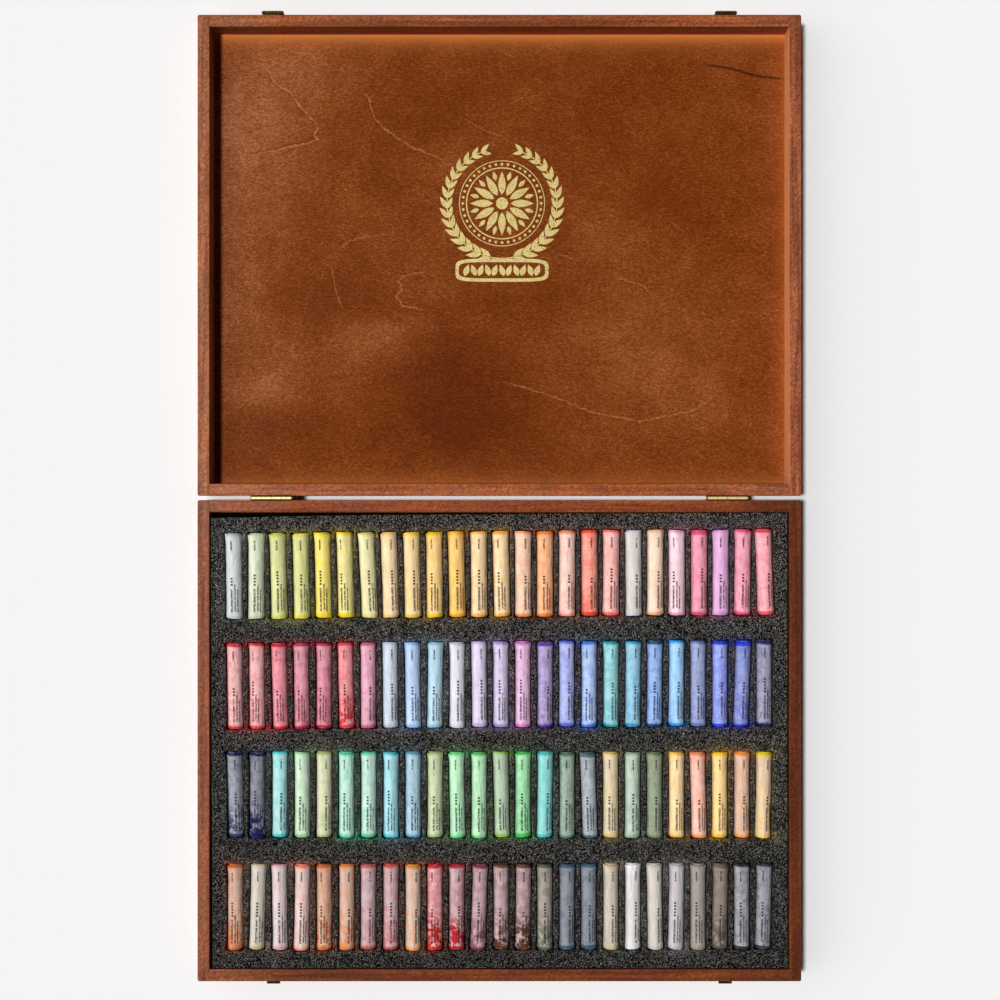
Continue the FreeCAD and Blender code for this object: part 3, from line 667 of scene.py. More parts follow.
def grow(name, mesh, tree, settings):
    """Runs a geometry tree on a mesh and keeps the result as a plain mesh piece."""
    piece = bpy.data.objects.new(name, mesh)
    scene.collection.objects.link(piece)
    modifier = piece.modifiers.new(name, "NODES")
    modifier.node_group = tree
    for item in tree.interface.items_tree:
        if item.in_out == "INPUT" and item.name in settings:
            modifier[item.identifier] = settings[item.name]
    ready = piece.evaluated_get(bpy.context.evaluated_depsgraph_get())
    grown = bpy.data.meshes.new_from_object(ready)
    piece.modifiers.clear()
    piece.data = grown
    return piece


def spots_mesh(name, spots, values):
    """Loose points with their own values, for a geometry tree to work from."""
    mesh = bpy.data.meshes.new(name)
    mesh.from_pydata(spots, [], [])
    for label, (kind, rows) in values.items():
        keep_values(mesh, label, kind, rows)
    return mesh


def loft(rings):
    """Points and faces of a closed stack of rings, each counter-clockwise and going upwards."""
    count = len(rings[0])
    points = [point for ring in rings for point in ring]
    last = len(points) - count
    faces = [tuple(range(count - 1, -1, -1)), tuple(range(last, last + count))]
    for first in range(0, last, count):
        for n in range(count):
            m = (n + 1) % count
            faces.append((first + n, first + m, first + count + m, first + count + n))
    return points, faces


def petal(length, width, points=7):
    """A leaf-shaped outline along X from the origin."""
    shares = [n / points for n in range(1, points)]
    upper = [(length * share, width / 2 * math.sin(math.pi * share**0.8)) for share in shares]
    return [(0, 0)] + [(x, -y) for x, y in upper] + [(length, 0)] + upper[::-1]


def disc(radius, points=24):
    angles = [math.tau * n / points for n in range(points)]
    return [(radius * math.cos(angle), radius * math.sin(angle)) for angle in angles]


def ring_part(inner, outer, start, stop, points=72):
    """The outline of part of a flat ring, between two angles in turns."""
    angles = [math.tau * (start + (stop - start) * n / points) for n in range(points + 1)]
    far = [(outer * math.cos(a), outer * math.sin(a)) for a in angles]
    near = [(inner * math.cos(a), inner * math.sin(a)) for a in reversed(angles)]
    return far + near


def tablet_frame(half_width, half_height, border, points=96):
    """The outline of a band round a tablet with swollen sides and blunt corners."""
    outlines = []
    for inset in (0.0, border):
        outline = []
        for n in range(points + 1):
            angle = math.tau * FULL_CIRCLE * n / points
            cos, sin = math.cos(angle), math.sin(angle)
            x = math.copysign(abs(cos) ** 0.4, cos) * (half_width - inset)
            outline.append((x, math.copysign(abs(sin) ** 0.4, sin) * (half_height - inset)))
        outlines.append(outline)
    return outlines[0] + outlines[1][::-1]


def gold_foil():
    material, tree, place = new_material("gold_foil")
    worn = spread(cloud(place, 900.0, 3.0, 0.7), 0.34, 0.5)
    patchy = cloud(place, 160.0, 3.0)
    foil = mix_colour(patchy, screen(196, 180, 110), screen(190, 171, 98))
    finish_material(tree, {
        "Base Color": mix_colour(worn, screen(150, 110, 52), foil),
        "Metallic": 0.15,
        "Roughness": spread(patchy, 0.3, 0.7, 0.4, 0.55),
        "Specular IOR Level": 0.4,
        "Normal": relief(worn, 0.02 * MM),
    })
    return material


def copies_tree():
    """Sets a motif at every point, by the point's own turn and size."""
    tree, start = new_tree("set_round_a_centre", {"Motif": "Object", "Finish": "Material"})
    inputs = {"Object": start["Motif"]}
    motif = result(tree, "GeometryNodeObjectInfo", inputs, "Geometry", transform_space="ORIGINAL")
    turn = result(tree, "FunctionNodeEulerToRotation", {0: own_field(tree, "turn", "FLOAT_VECTOR")})
    end_tree(copied(start["Geometry"], motif, Rotation=turn, Scale=own_field(tree, "size")), start["Finish"])
    return tree


gold = gold_foil()
placed = copies_tree()
emblem_middle = lid_place(EMBLEM_COLUMN, EMBLEM_ROW, panel_top)


def placed_copies(name, motif, spots, turns, sizes, material):
    """Copies of a motif at these spots as one piece, after which the motif is thrown away."""
    values = {"turn": ("FLOAT_VECTOR", turns), "size": ("FLOAT", sizes)}
    piece = grow(name, spots_mesh(name, spots, values), placed, {"Motif": motif, "Finish": material})
    bpy.data.objects.remove(motif)
    return piece


def foil_copies(name, outline, places):
    """Copies of one outline, each at an angle, radius, turn and size, as one gold piece."""
    shape = loft([[(x, y, z) for x, y in outline] for z in (0, FOIL_THICKNESS)])
    spots = [
        (emblem_middle.x + radius * math.cos(angle), emblem_middle.y + radius * math.sin(angle), panel_top)
        for angle, radius, _, _ in places
    ]
    turns = [(0, 0, turn) for _, _, turn, _ in places]
    sizes = [size for _, _, _, size in places]
    piece = placed_copies(name, mesh_piece(name + "_motif", *shape, gold), spots, turns, sizes, gold)
    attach(piece, "lid")


def spokes(count, radius, size, shift=0.0):
    """Places all round the middle, each turned to point outwards."""
    angles = [math.tau * (n + shift) / count for n in range(count)]
    return [(angle, radius, angle, size) for angle in angles]


wreath = []
for side in (-1, 1):
    for number in range(WREATH_PAIRS):
        angle = DOWN + side * (FIRST_PAIR + PAIR_STEP * number)
        ahead = angle + side * math.pi / 2
        size = 1.0 - 0.25 * number / (WREATH_PAIRS - 1)
        wreath.append((angle, WREATH_RADIUS, ahead - side * OUTER_LEAN, size * 1.1))
        wreath.append((angle, WREATH_RADIUS, ahead + side * INNER_LEAN, size))
foil_copies("gold_wreath_leaves", petal(11 * MM, 3.9 * MM), wreath)
stem = ring_part(WREATH_RADIUS - STEM_HALF_WIDTH, WREATH_RADIUS + STEM_HALF_WIDTH, -0.44, 0.44)
foil_copies("gold_wreath_stem", stem, [(0, 0, DOWN, 1.0)])
for ring, (inner, outer) in RING_EDGES.items():
    foil_copies(ring, ring_part(inner, outer, 0, FULL_CIRCLE, 96), [(0, 0, 0, 1.0)])
beads = [(math.tau * n / BEAD_COUNT, BEAD_ORBIT, 0, 1.1) for n in range(BEAD_COUNT)]
foil_copies("gold_beads", disc(0.95 * MM, 12), beads)
foil_copies("gold_petals", petal(16 * MM, 5.2 * MM, 9), spokes(PETAL_COUNT, 6.8 * MM, 1.1))
foil_copies("gold_tips", petal(6 * MM, 2.6 * MM), spokes(PETAL_COUNT, 18 * MM, 1.2, 0.5))
foil_copies("gold_heart", disc(4.6 * MM), [(0, 0, 0, 1.0)])
band = tablet_frame(35.5 * MM, 8.8 * MM, 2.6 * MM)
foil_copies("gold_tablet_frame", band, [(DOWN, TABLET_DROP, 0, 1.0)])
row_of_leaves = []
for number in range(-5, 6):
    x, y = number * 5.4 * MM, -TABLET_DROP
    lean = math.radians(70 if number % 2 else 110)
    row_of_leaves.append((math.atan2(y, x), math.hypot(x, y), lean, 1.0))
tablet_leaf = [(x - TABLET_LEAF / 2, y) for x, y in petal(TABLET_LEAF, 4.4 * MM)]
foil_copies("gold_tablet_leaves", tablet_leaf, row_of_leaves)


# Hinges and swing catches: pressed and rolled brass, screwed to the rails. The hinge knuckles have a
# painted highlight on top and painted shade at their flanks and edges; the catches have painted shade
# on top and are brass on their upright faces.

# Each kind has the colours of its tops, of the tarnish in its hollows, and of its edges, flanks and
# upright faces. The hinge's top colour is a painted highlight and its flank and edge colours painted
# shade; the catch's top colour is painted shade and its edge colour rubbed brass with a painted glint.
# The tarnish also darkens the gaps between parts as painted shade.
BRASS_SHADES = {
    "hinge": ((204, 178, 122), (46, 30, 8), (58, 40, 14), (46, 30, 8), (186, 152, 88)),
    "catch": ((34, 30, 20), (20, 15, 7), (164, 142, 92), (182, 146, 80), (182, 146, 80)),
}


def brass_material(name, top, tarnish_and_shade_colour, edge, flank, face):
    material, tree, place = new_material(name)
    smudge = cloud(place, 240.0, 4.0, 0.6, 0.6)
    brushed = cloud(stretched(place, 300.0, 2600.0, 2600.0), 1.0, 3.0, 0.6)
    # Occlusion darkens the hollows: tarnish, and also painted shade in the gaps between knuckles and leaves.
    hollow = result(tree, "ShaderNodeAmbientOcclusion", {"Distance": 3 * MM}, "AO", samples=8)
    tarnish_and_shade = spread(smudge * 0.5 + hollow, 0.9, 1.3, 1.0, 0.0)
    upward = abs(own_normal(tree)[2])
    # The edge mask paints shade on the hinge edges, and rubbed brass with a painted glint on the catch
    # edges.
    wear_and_shade = use_group(tree, edge_wear_and_shade, {"Place": place, "Width": 0.3 * MM})["Wear And Shade"]
    colour = mix_colour(spread(smudge, 0.35, 0.7), screen(*top), scaled(screen(*top), 0.7))
    # The colour follows the way each face is turned: a painted highlight on the hinge tops and painted shade
    # on their flanks, painted shade on the catch tops.
    colour = mix_colour(spread(upward, 0.7, 0.97, 0.95, 0.0), colour, screen(*flank))
    colour = mix_colour(spread(upward, 0.05, 0.3, 1.0, 0.0), colour, screen(*face))
    colour = mix_colour(tarnish_and_shade, colour, screen(*tarnish_and_shade_colour))
    finish_material(tree, {
        "Base Color": mix_colour(wear_and_shade * 0.8, colour, screen(*edge)),
        "Metallic": 1.0,
        "Roughness": tarnish_and_shade * 0.25 + spread(smudge, 0.3, 0.7, 0.36, 0.5),
        "Normal": relief(smudge * 0.6 + brushed * 0.4, 0.02 * MM),
    })
    return material


brass = {kind: brass_material(kind + "_brass", *shades) for kind, shades in BRASS_SHADES.items()}
for name, node in nodes.items():
    kind = name.split("_")[0]
    if kind in brass and not name.endswith("screws"):
        dress(node, brass[kind])


# Screws of the hinges and catches: small slotted brass wood screws, flat heads in the leaves and
# strikes and round heads in the lid plates, each stopped with its slot at its own angle.

# Each set has its body and kind, the way its heads face along Y, the form of its head, the head's
# radius and height and the shank's radius in millimetres, how far its two screws stand from the
# middle of their fitting, and the fitting.
SCREWS = {
    "hinge_base_screws": ("base", "hinge", 1, "flat", 1.7, 0.75, 0.8, 9.0, "hinge_{}_base_leaf"),
    "hinge_lid_screws": ("lid", "hinge", -1, "flat", 1.7, 0.75, 0.8, 9.0, "hinge_{}_lid_leaf"),
    "catch_lid_screws": ("lid", "catch", 1, "round", 1.25, 0.9, 0.7, 9.6, "catch_{}_plate"),
    "catch_base_screws": ("base", "catch", -1, "flat", 1.25, 0.65, 0.7, 5.4, "catch_{}_strike"),
}
SLOT_WIDTH = 0.4 * MM
SLOT_DEPTH = 0.55
SCREW_POINT = 1.2 * MM

# The rings of each form of head above the floor of its slot, as shares of its radius and height.
HEAD_FORMS = {
    "round": ((0.98, SLOT_DEPTH), (0.86, 0.25), (0.6, 0)),
    "flat": ((0.8, SLOT_DEPTH), (1.0, 0.1), (0.97, 0)),
}


def screw_shape(head, height, shank, length, form):
    """A slotted screw along Z, with the top of its head at the origin."""
    def ring(radius, z):
        return [(x, y, z) for x, y in disc(radius, 16)]

    def half_ring(radius, z, side):
        reach = math.acos(SLOT_WIDTH / 2 / radius)
        angles = [-reach + 2 * reach * n / 8 for n in range(9)]
        return [(side * radius * math.cos(a), side * radius * math.sin(a), z) for a in angles]

    crowns = [(head * share, -height * drop) for share, drop in HEAD_FORMS[form]]
    body = [(shank * 0.2, -length), (shank, SCREW_POINT - length), (shank, -height)]
    if form == "round":
        body.append((head, -height))
    parts = [loft([ring(radius, z) for radius, z in body + crowns[:1]])]
    parts += [loft([half_ring(radius, z, side) for radius, z in crowns]) for side in (-1, 1)]
    points, faces = [], []
    for part_points, part_faces in parts:
        faces += [tuple(n + len(points) for n in face) for face in part_faces]
        points += part_points
    return points, faces


chance = random.Random(4)
for name, (body, kind, outward, form, head, height, shank, aside, fitting) in SCREWS.items():
    low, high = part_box(name)
    top = high.y if outward > 0 else low.y
    shape = screw_shape(head * MM, height * MM, shank * MM, high.y - low.y, form)
    spots, turns = [], []
    for side in ("left", "right"):
        fitting_low, fitting_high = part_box(fitting.format(side))
        middle = (fitting_low.x + fitting_high.x) / 2
        for away in (-aside, aside):
            spots.append((middle + away * MM, top, (low.z + high.z) / 2))
            turns.append((math.radians(-90 * outward), chance.uniform(0, math.pi), 0))
    motif = mesh_piece(name + "_motif", *shape, brass[kind])
    piece = placed_copies(name + "_slotted", motif, spots, turns, [1.0] * len(spots), brass[kind])
    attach(piece, body)
    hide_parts(name)


# The hundred sticks as they lie: pigment, with the label's tint after "on" where it is another, the
# tint's paleness, the turn in degrees, the bare stick above and below the label in millimetres, and
# how smeared the label is. The last three are left out where they are the usual ones.

PIGMENTS = {
    "silver": (196, 205, 205), "celery": (205, 218, 175), "lime": (212, 214, 95),
    "lemon": (232, 222, 80), "yellow": (245, 215, 30), "cream": (232, 220, 120),
    "pear": (206, 208, 118), "camel": (205, 158, 128), "naples": (250, 200, 120),
    "golden": (252, 205, 50), "saffron": (255, 198, 0), "apricot": (252, 178, 62),
    "peach": (252, 150, 90), "orange": (252, 125, 35), "salmon": (252, 145, 115),
    "vermilion": (240, 65, 35), "coral": (248, 95, 80), "opal": (222, 212, 226),
    "shell": (250, 180, 130), "blush": (242, 160, 190), "magenta": (222, 72, 112),
    "orchid": (222, 155, 212), "madder": (232, 70, 115), "carmine": (242, 70, 95),
    "scarlet": (226, 55, 65), "crimson": (214, 25, 55), "ruby": (185, 25, 60),
    "heather": (205, 90, 130), "mist": (190, 202, 222), "sky": (150, 190, 245),
    "aqua": (145, 195, 222), "moon": (212, 212, 230), "lilac": (200, 178, 225),
    "violet": (172, 148, 215), "mallow": (205, 120, 190), "purple": (85, 55, 150),
    "periwinkle": (85, 105, 220), "cobalt": (55, 120, 232), "teal": (10, 155, 175),
    "cerulean": (40, 150, 200), "azure": (40, 150, 240), "prussian": (10, 60, 110),
    "ultramarine": (20, 50, 220), "navy": (20, 22, 84), "turquoise": (60, 205, 205),
    "pistachio": (150, 215, 145), "olive": (180, 190, 110), "mint": (85, 215, 170),
    "jade": (70, 205, 150), "ice": (75, 200, 215), "steel": (90, 160, 190), "sage": (165, 190, 120),
    "spring": (110, 225, 135), "leaf": (90, 205, 105), "lime_green": (150, 200, 80),
    "emerald": (55, 190, 80), "lagoon": (72, 197, 187), "pine": (70, 110, 80), "slate": (70, 95, 105),
    "sand": (222, 190, 110), "lichen": (150, 178, 150), "moss": (110, 125, 90), "corn": (248, 190, 70),
    "wheat": (205, 185, 140), "rose": (228, 165, 170), "terracotta": (235, 130, 60),
    "dusk": (190, 90, 90), "brick": (200, 70, 60), "tangerine": (245, 150, 50),
    "maroon": (120, 40, 55), "fir": (75, 90, 65), "white": (240, 240, 242), "bone": (208, 200, 188),
    "ash": (190, 182, 190), "mauve": (192, 160, 164), "pewter": (134, 138, 148),
    "oat": (196, 190, 178), "denim": (92, 108, 178), "stone": (150, 140, 130), "smoke": (96, 82, 68),
    "charcoal": (30, 30, 34), "payne": (28, 36, 50), "midnight": (14, 24, 82), "walnut": (84, 50, 24),
    "lacquer": (196, 44, 28), "garnet": (176, 28, 40), "rust": (205, 104, 38), "amber": (252, 178, 44),
    "petrol": (52, 84, 104),
}
ROW_PAPERS = ((246, 240, 236), (248, 244, 240), (244, 240, 240), (212, 202, 200))
ROW_LIFTS = (9, 5, 4, -8)
USUAL_ENDS = (1.3, 1.2, 0.1)
MIDDLE_COLUMN = 12
STICK_ROWS = (
    (
        ("silver", 0.42, 0.8), ("celery", 0.42, 0), ("lime on pear", 0.40, 1.5),
        ("lemon on pear", 0.28, 1.2, 1.4, 2.4), ("yellow", 0.48, 1.2, 1.2, 3.6),
        ("yellow on cream", 0.36, 1.4, 2.0, 3.4), ("cream", 0.54, 2.9), ("naples", 0.52, 1.9),
        ("golden on naples", 0.42, 1.3, 2.4), ("saffron on naples", 0.22, 0.5, 2.4, 2.4),
        ("amber", 0.42, 1.2, 2.8, 1.6, 0.4), ("apricot", 0.66, 0.5), ("apricot", 0.66, 1.3, 2.0),
        ("peach", 0.63, 0.3), ("orange", 0.54, 0, 2.6), ("salmon", 0.67, -0.3),
        ("vermilion", 0.54, 0.3, 2.2, 2.4, 0.5), ("coral", 0.66, -0.5), ("opal on oat", 0.30, 0.5),
        ("shell", 0.62, 0), ("blush", 0.66, 0), ("magenta", 0.50, 0, 3.8), ("orchid", 0.24, 0),
        ("madder", 0.55, -0.6), ("carmine", 0.60, 2, 2.2, 2.4),
    ),
    (
        ("scarlet", 0.72, 0.9, 2.2, 1.8), ("scarlet", 0.70, 0.5, 2.0, 1.4, 0.3),
        ("crimson", 0.60, 1.6, 2.2, 1.6, 0.3), ("ruby", 0.60, 0.8, 1.4, 1.6, 0.5),
        ("ruby", 0.57, 0, 2.0, 1.6, 0.4), ("scarlet", 0.55, 1.3, 2.0, 1.8, 1.0),
        ("heather", 0.55, 0.3, 1.4, 2.0), ("mist", 0.30, 0.6), ("sky", 0.44, 0.8),
        ("aqua", 0.42, -0.6), ("moon", 0.40, 0), ("lilac", 0.50, 0.7), ("violet", 0.60, 0),
        ("mallow", 0.56, 0), ("purple", 0.58, 0, 3.0), ("periwinkle", 0.60, 0), ("cobalt", 0.66, 0),
        ("teal", 0.62, 0), ("cerulean", 0.55, -0.5), ("prussian on cobalt", 0.50, -0.5, 1.6, 1.6),
        ("azure", 0.60, -0.5), ("denim", 0.42, 0), ("ultramarine", 0.60, 0, 2.0, 2.0),
        ("ultramarine on denim", 0.35, -1.9, 3.8, 1.2, 0.4), ("navy", 0.60, 0, 3.0),
    ),
    (
        ("midnight on pewter", 0.22, 1.4, 2.2, 3.0, 0.9),
        ("midnight on pewter", 0.05, 0, 1.8, 2.0, 1.2), ("turquoise", 0.68, 0), ("pistachio", 0.68, 0),
        ("olive", 0.60, 0), ("mint", 0.72, 0), ("jade", 0.78, 0), ("ice", 0.60, 0), ("steel", 0.58, 0),
        ("sage", 0.46, 0), ("spring", 0.64, 1.0), ("leaf", 0.66, 0),
        ("lime_green on lichen", 0.35, 1.3), ("emerald", 0.60, 0, 1.2, 3.2),
        ("lagoon", 0.46, -0.7, 2.2, 2.2), ("pine", 0.50, 0), ("slate", 0.60, 1.9, 3.8),
        ("sand on wheat", 0.32, 0), ("lichen", 0.38, 0), ("moss", 0.30, 0, 1.2, 1.2, 0.4),
        ("corn on naples", 0.42, 0, 2.2), ("peach on salmon", 0.52, 1.3, 2.4, 1.6),
        ("saffron on naples", 0.32, 0, 2.6, 1.8), ("tangerine on camel", 0.34, 0, 2.6),
        ("yellow on camel", 0.40, -1.0, 3.0, 1.2, 0.5),
    ),
    (
        ("rust on camel", 0.36, 0, 2.2, 1.2, 0.8), ("wheat on bone", 0.20, -1.5, 1.3, 1.2, 0.2),
        ("rose", 0.94, 0.9), ("salmon", 0.90, -1.1, 2.4), ("rust on camel", 0.22, 0, 2.2, 1.2, 0.9),
        ("terracotta on camel", 0.40, 0, 1.2, 1.2, 0.8), ("dusk on mauve", 0.30, 0, 3.0, 1.2, 0.5),
        ("brick on mauve", 0.20, 0, 2.0, 1.6, 0.6), ("tangerine on camel", 0.60, 0, 2.6),
        ("lacquer on rose", 0.10, 0, 2.4, 2.4, 1.4), ("garnet on mauve", 0.20, 0, 2.6, 2.2, 1.4),
        ("maroon on mauve", 0.0, -1.9, 2.4, 2.0, 0.8), ("walnut on mauve", 0.06, 0, 2.8, 0.9, 1.0),
        ("walnut on mauve", 0.0, -0.7, 2.8, 0.9, 1.2), ("fir on stone", 0.24, 0, 2.6, 1.2, 0.8),
        ("petrol on pewter", 0.04, 0, 2.8, 2.6, 0.2), ("petrol on pewter", 0.06, 0, 2.8, 2.6, 0.2),
        ("wheat on oat", 0.0, 0, 0.9, 2.2, 0.2), ("white", 0.70, 0), ("bone", 0.35, 1.0),
        ("ash", 0.42, -1.0), ("stone", 0.22, 0, 2.4, 1.2, 0.3), ("smoke", 0.42, -0.8, 3.4, 1.2, 1.0),
        ("charcoal on pewter", 0.44, 0, 2.0, 1.8, 0.3), ("payne on pewter", 0.32, -1.2, 2.0, 1.8, 0.3),
    ),
)
ROW_MIDDLES = (-57.1, -140.1, -223.0, -307.2)
ROW_RISES = (1.6, 1.1, 0.0, 0.3)
ROW_BOW = 1.3
ROW_SPREADS = (1.2, 0.6, 0.2, 0.2)
ROW_SLACK = (0.45, 0.0, 0.0, 0.0)
STICK_PITCH = 16.55
STICK_SHIFT_X, STICK_SHIFT_Y = 0.25, 0.35
STICK_HEIGHT = 16.8 * MM
STICK_HALF = 32.0 * MM


def stick_colours(names, paleness, paper):
    """The screen colours of a stick's pigment and of its tinted label."""
    pigment, _, tint = names.partition(" on ")
    tinted = zip(PIGMENTS[tint or pigment], paper)
    label = [share * paleness + part * (1 - paleness) for part, share in tinted]
    return {"pigment": screen(*PIGMENTS[pigment]), "label": screen(*label)}


chance = random.Random(11)
sticks = []
for row, entries in enumerate(STICK_ROWS):
    for column, entry in enumerate(entries):
        names, paleness, turn, top, foot, smear = entry + USUAL_ENDS[len(entry) - 3:]
        across = (column - MIDDLE_COLUMN) / MIDDLE_COLUMN
        x = (column - MIDDLE_COLUMN) * STICK_PITCH
        x += ROW_SPREADS[row] * across + ROW_BOW * (1 - across**2)
        x += chance.uniform(-STICK_SHIFT_X, STICK_SHIFT_X)
        y = ROW_MIDDLES[row] + ROW_RISES[row] * across + chance.uniform(-STICK_SHIFT_Y, STICK_SHIFT_Y)
        paper = [min(255, part + ROW_LIFTS[row] * across) for part in ROW_PAPERS[row]]
        sticks.append({
            "row": row,
            "middle": Vector((x * MM, y * MM, STICK_HEIGHT)),
            "turn": math.radians(turn),
            "top": top * MM,
            "foot": foot * MM,
            "smear": smear,
            "slack": ROW_SLACK[row] * MM,
            "chance": chance.random(),
            **stick_colours(names, paleness, paper),
        })


# Foam: a charcoal open-cell sheet with a hundred slots cut by hand a little askew, lying on a
# plain sheet of the same foam, darkened almost to black as painted shade. Pastel dust has settled in
# the cells round the ends of the sticks.

FOAM_TOP = 22.0 * MM
FOAM_FLOOR = 10.0 * MM
FOAM_MIDDLE = -181.9
FOAM_CORNERS = (
    (-215.8, -353.5), (216.9, -353.5), (217.0, -350.0), (216.6, -10.8),
    (60.0, -11.6), (-60.0, -12.3), (-140.0, -13.3), (-217.2, -14.9),
)
FOAM_STEP = 6 * MM
SHEET_STEP = 14 * MM
RIM_ROUNDING = 0.5 * MM
RIM_DROP = 1.0 * MM
TOP_SHRINK = 0.0025
EDGE_WAVER = 0.0012
TOP_SAG = 0.35 * MM
FINE_SAG = 0.12 * MM
SHEET_SAG = 0.1 * MM
SLOT_HALF_WIDTH = 6.25 * MM
SLOT_END_ROOM = 0.75 * MM
SLOT_CORNER = 1.6 * MM
SLOT_FLARE = 0.75 * MM
SLOT_WAVER = 0.35 * MM
SLOT_REACH_X, SLOT_REACH_Y = 12 * MM, 36 * MM
DUSTY_HALF_WIDTH = 6.3 * MM
DUSTY_END = 4 * MM
END_DUST, END_DUST_FADE = 0.95, 1.6 * MM
SIDE_DUST, SIDE_DUST_FADE = 0.3, 1.0 * MM
CELL_DARK = (2, 2, 2)
CELL_LIGHT = (142, 138, 132)
CELL_GLINT = (176, 172, 168)
# The plain sheet's colours are scaled down to this share: painted shade in the narrow gap behind the tray.
PLAIN_SHEET_PAINTED_SHADE = 0.04


def waver(x, y, scale, amount, seed):
    return amount * noise.noise(Vector((x * scale, y * scale, seed)))


def slot_outline(stick, spare):
    """The slot round a stick, counter-clockwise: a little wider where the label flares out."""
    half_length = STICK_HALF + SLOT_END_ROOM + spare
    straight = half_length - SLOT_CORNER
    quarter = []
    for share in (0.0, 0.22, 0.44, 0.64, 0.8, 0.91, 1.0):
        flare = max(0.0, share - 0.7) / 0.3
        half_width = SLOT_HALF_WIDTH + stick["slack"] + SLOT_FLARE * flare**1.3 + spare
        quarter.append((half_width, straight * share))
    for angle in (math.radians(30), math.radians(60)):
        rounded = SLOT_CORNER * (1 - math.cos(angle))
        quarter.append((half_width - rounded, straight + SLOT_CORNER * math.sin(angle)))
    quarter += [((half_width - SLOT_CORNER) * share, half_length) for share in (1.0, 0.5, 0.0)]
    back = quarter[::-1]
    slot = quarter + [(-x, y) for x, y in back[1:]]
    slot += [(-x, -y) for x, y in quarter[1:]] + [(x, -y) for x, y in back[1:-1]]
    cos, sin = math.cos(stick["turn"]), math.sin(stick["turn"])
    seed = stick["chance"] * 90
    outline = []
    for x, y in slot:
        x += waver(x, y, 140.0, SLOT_WAVER, seed)
        y += waver(x, y, 160.0, SLOT_WAVER, seed + 7)
        outline.append((stick["middle"].x + x * cos - y * sin, stick["middle"].y + x * sin + y * cos))
    return outline


def within(point, outline):
    x, y = point
    inside = False
    for (ax, ay), (bx, by) in zip(outline, outline[1:] + outline[:1]):
        if (ay > y) != (by > y) and x < ax + (bx - ax) * (y - ay) / (by - ay):
            inside = not inside
    return inside


def cut_sheet(edge, holes, step):
    """Flat points and triangles of a sheet with holes, and the numbers of each outline's points."""
    outlines = [edge] + holes
    flat, lines = [], []
    for outline in outlines:
        first = len(flat)
        flat += [Vector(point) for point in outline]
        lines += [(first + n, first + (n + 1) % len(outline)) for n in range(len(outline))]
    middles = [(sum(x for x, _ in hole) / len(hole), sum(y for _, y in hole) / len(hole)) for hole in holes]
    low_x, high_x = min(x for x, _ in edge), max(x for x, _ in edge)
    low_y, high_y = min(y for _, y in edge), max(y for _, y in edge)

    def covered(point):
        for (x, y), hole in zip(middles, holes):
            near = abs(point[0] - x) < SLOT_REACH_X and abs(point[1] - y) < SLOT_REACH_Y
            if near and within(point, hole):
                return False
        return within(point, edge)

    if step:
        for row in range(int((high_y - low_y) / step)):
            for column in range(int((high_x - low_x) / step)):
                spot = (low_x + (column + 0.5) * step, low_y + (row + 0.5) * step)
                if covered(spot):
                    flat.append(Vector(spot))
    found, _, faces, origins, _, _ = geometry.delaunay_2d_cdt(flat, lines, [], 0, 1e-7)
    where = {}
    for number, first in enumerate(origins):
        for origin in first:
            where.setdefault(origin, number)
    faces = [f for f in faces if covered(sum((found[n] for n in f), Vector((0, 0))) / 3)]
    faces = [f if geometry.normal([found[n].to_3d() for n in f]).z > 0 else f[::-1] for f in faces]
    borders = []
    first = 0
    for outline in outlines:
        borders.append([where[n] for n in range(first, first + len(outline))])
        first += len(outline)
    return found, faces, borders


def foam_edge(shrink):
    """The outline of the tray, counter-clockwise, cut by hand and so never quite straight."""
    outline = []
    for (ax, ay), (bx, by) in zip(FOAM_CORNERS, FOAM_CORNERS[1:] + FOAM_CORNERS[:1]):
        count = max(1, round(math.hypot(bx - ax, by - ay) * MM / FOAM_STEP))
        for n in range(count):
            x, y = ax + (bx - ax) * n / count, ay + (by - ay) * n / count
            keep = 1 - abs(waver(x, y, 0.06, EDGE_WAVER, 3.0)) - shrink
            outline.append((x * MM * keep, ((y - FOAM_MIDDLE) * keep + FOAM_MIDDLE) * MM))
    return outline


def tray_shape():
    """Points and faces of the slotted tray: top, floor, and walls with a rounded shoulder."""
    wall_outlines = [foam_edge(0.0)] + [slot_outline(stick, 0.0) for stick in sticks]
    top_holes = [slot_outline(stick, RIM_ROUNDING) for stick in sticks]
    top_flat, top_faces, top_borders = cut_sheet(foam_edge(TOP_SHRINK), top_holes, FOAM_STEP)
    floor_flat, floor_faces, floor_borders = cut_sheet(wall_outlines[0], wall_outlines[1:], None)
    points = []
    for x, y in top_flat:
        sag = waver(x, y, 22.0, TOP_SAG, 1.0) + waver(x, y, 90.0, FINE_SAG, 2.0)
        points.append((x, y, FOAM_TOP - TOP_SAG + sag))
    faces = [tuple(face) for face in top_faces]
    floor_first = len(points)
    points += [(x, y, FOAM_FLOOR) for x, y in floor_flat]
    faces += [tuple(floor_first + n for n in face[::-1]) for face in floor_faces]
    for number, outline in enumerate(wall_outlines):
        count = len(outline)
        shoulder = range(len(points), len(points) + count)
        points += [(x, y, FOAM_TOP - RIM_DROP) for x, y in outline]
        lower = [floor_first + n for n in floor_borders[number]]
        for one, two in ((lower, shoulder), (shoulder, top_borders[number])):
            for n in range(count):
                m = (n + 1) % count
                quad = (one[n], one[m], two[m], two[n])
                faces.append(quad if number == 0 else quad[::-1])
    return points, faces


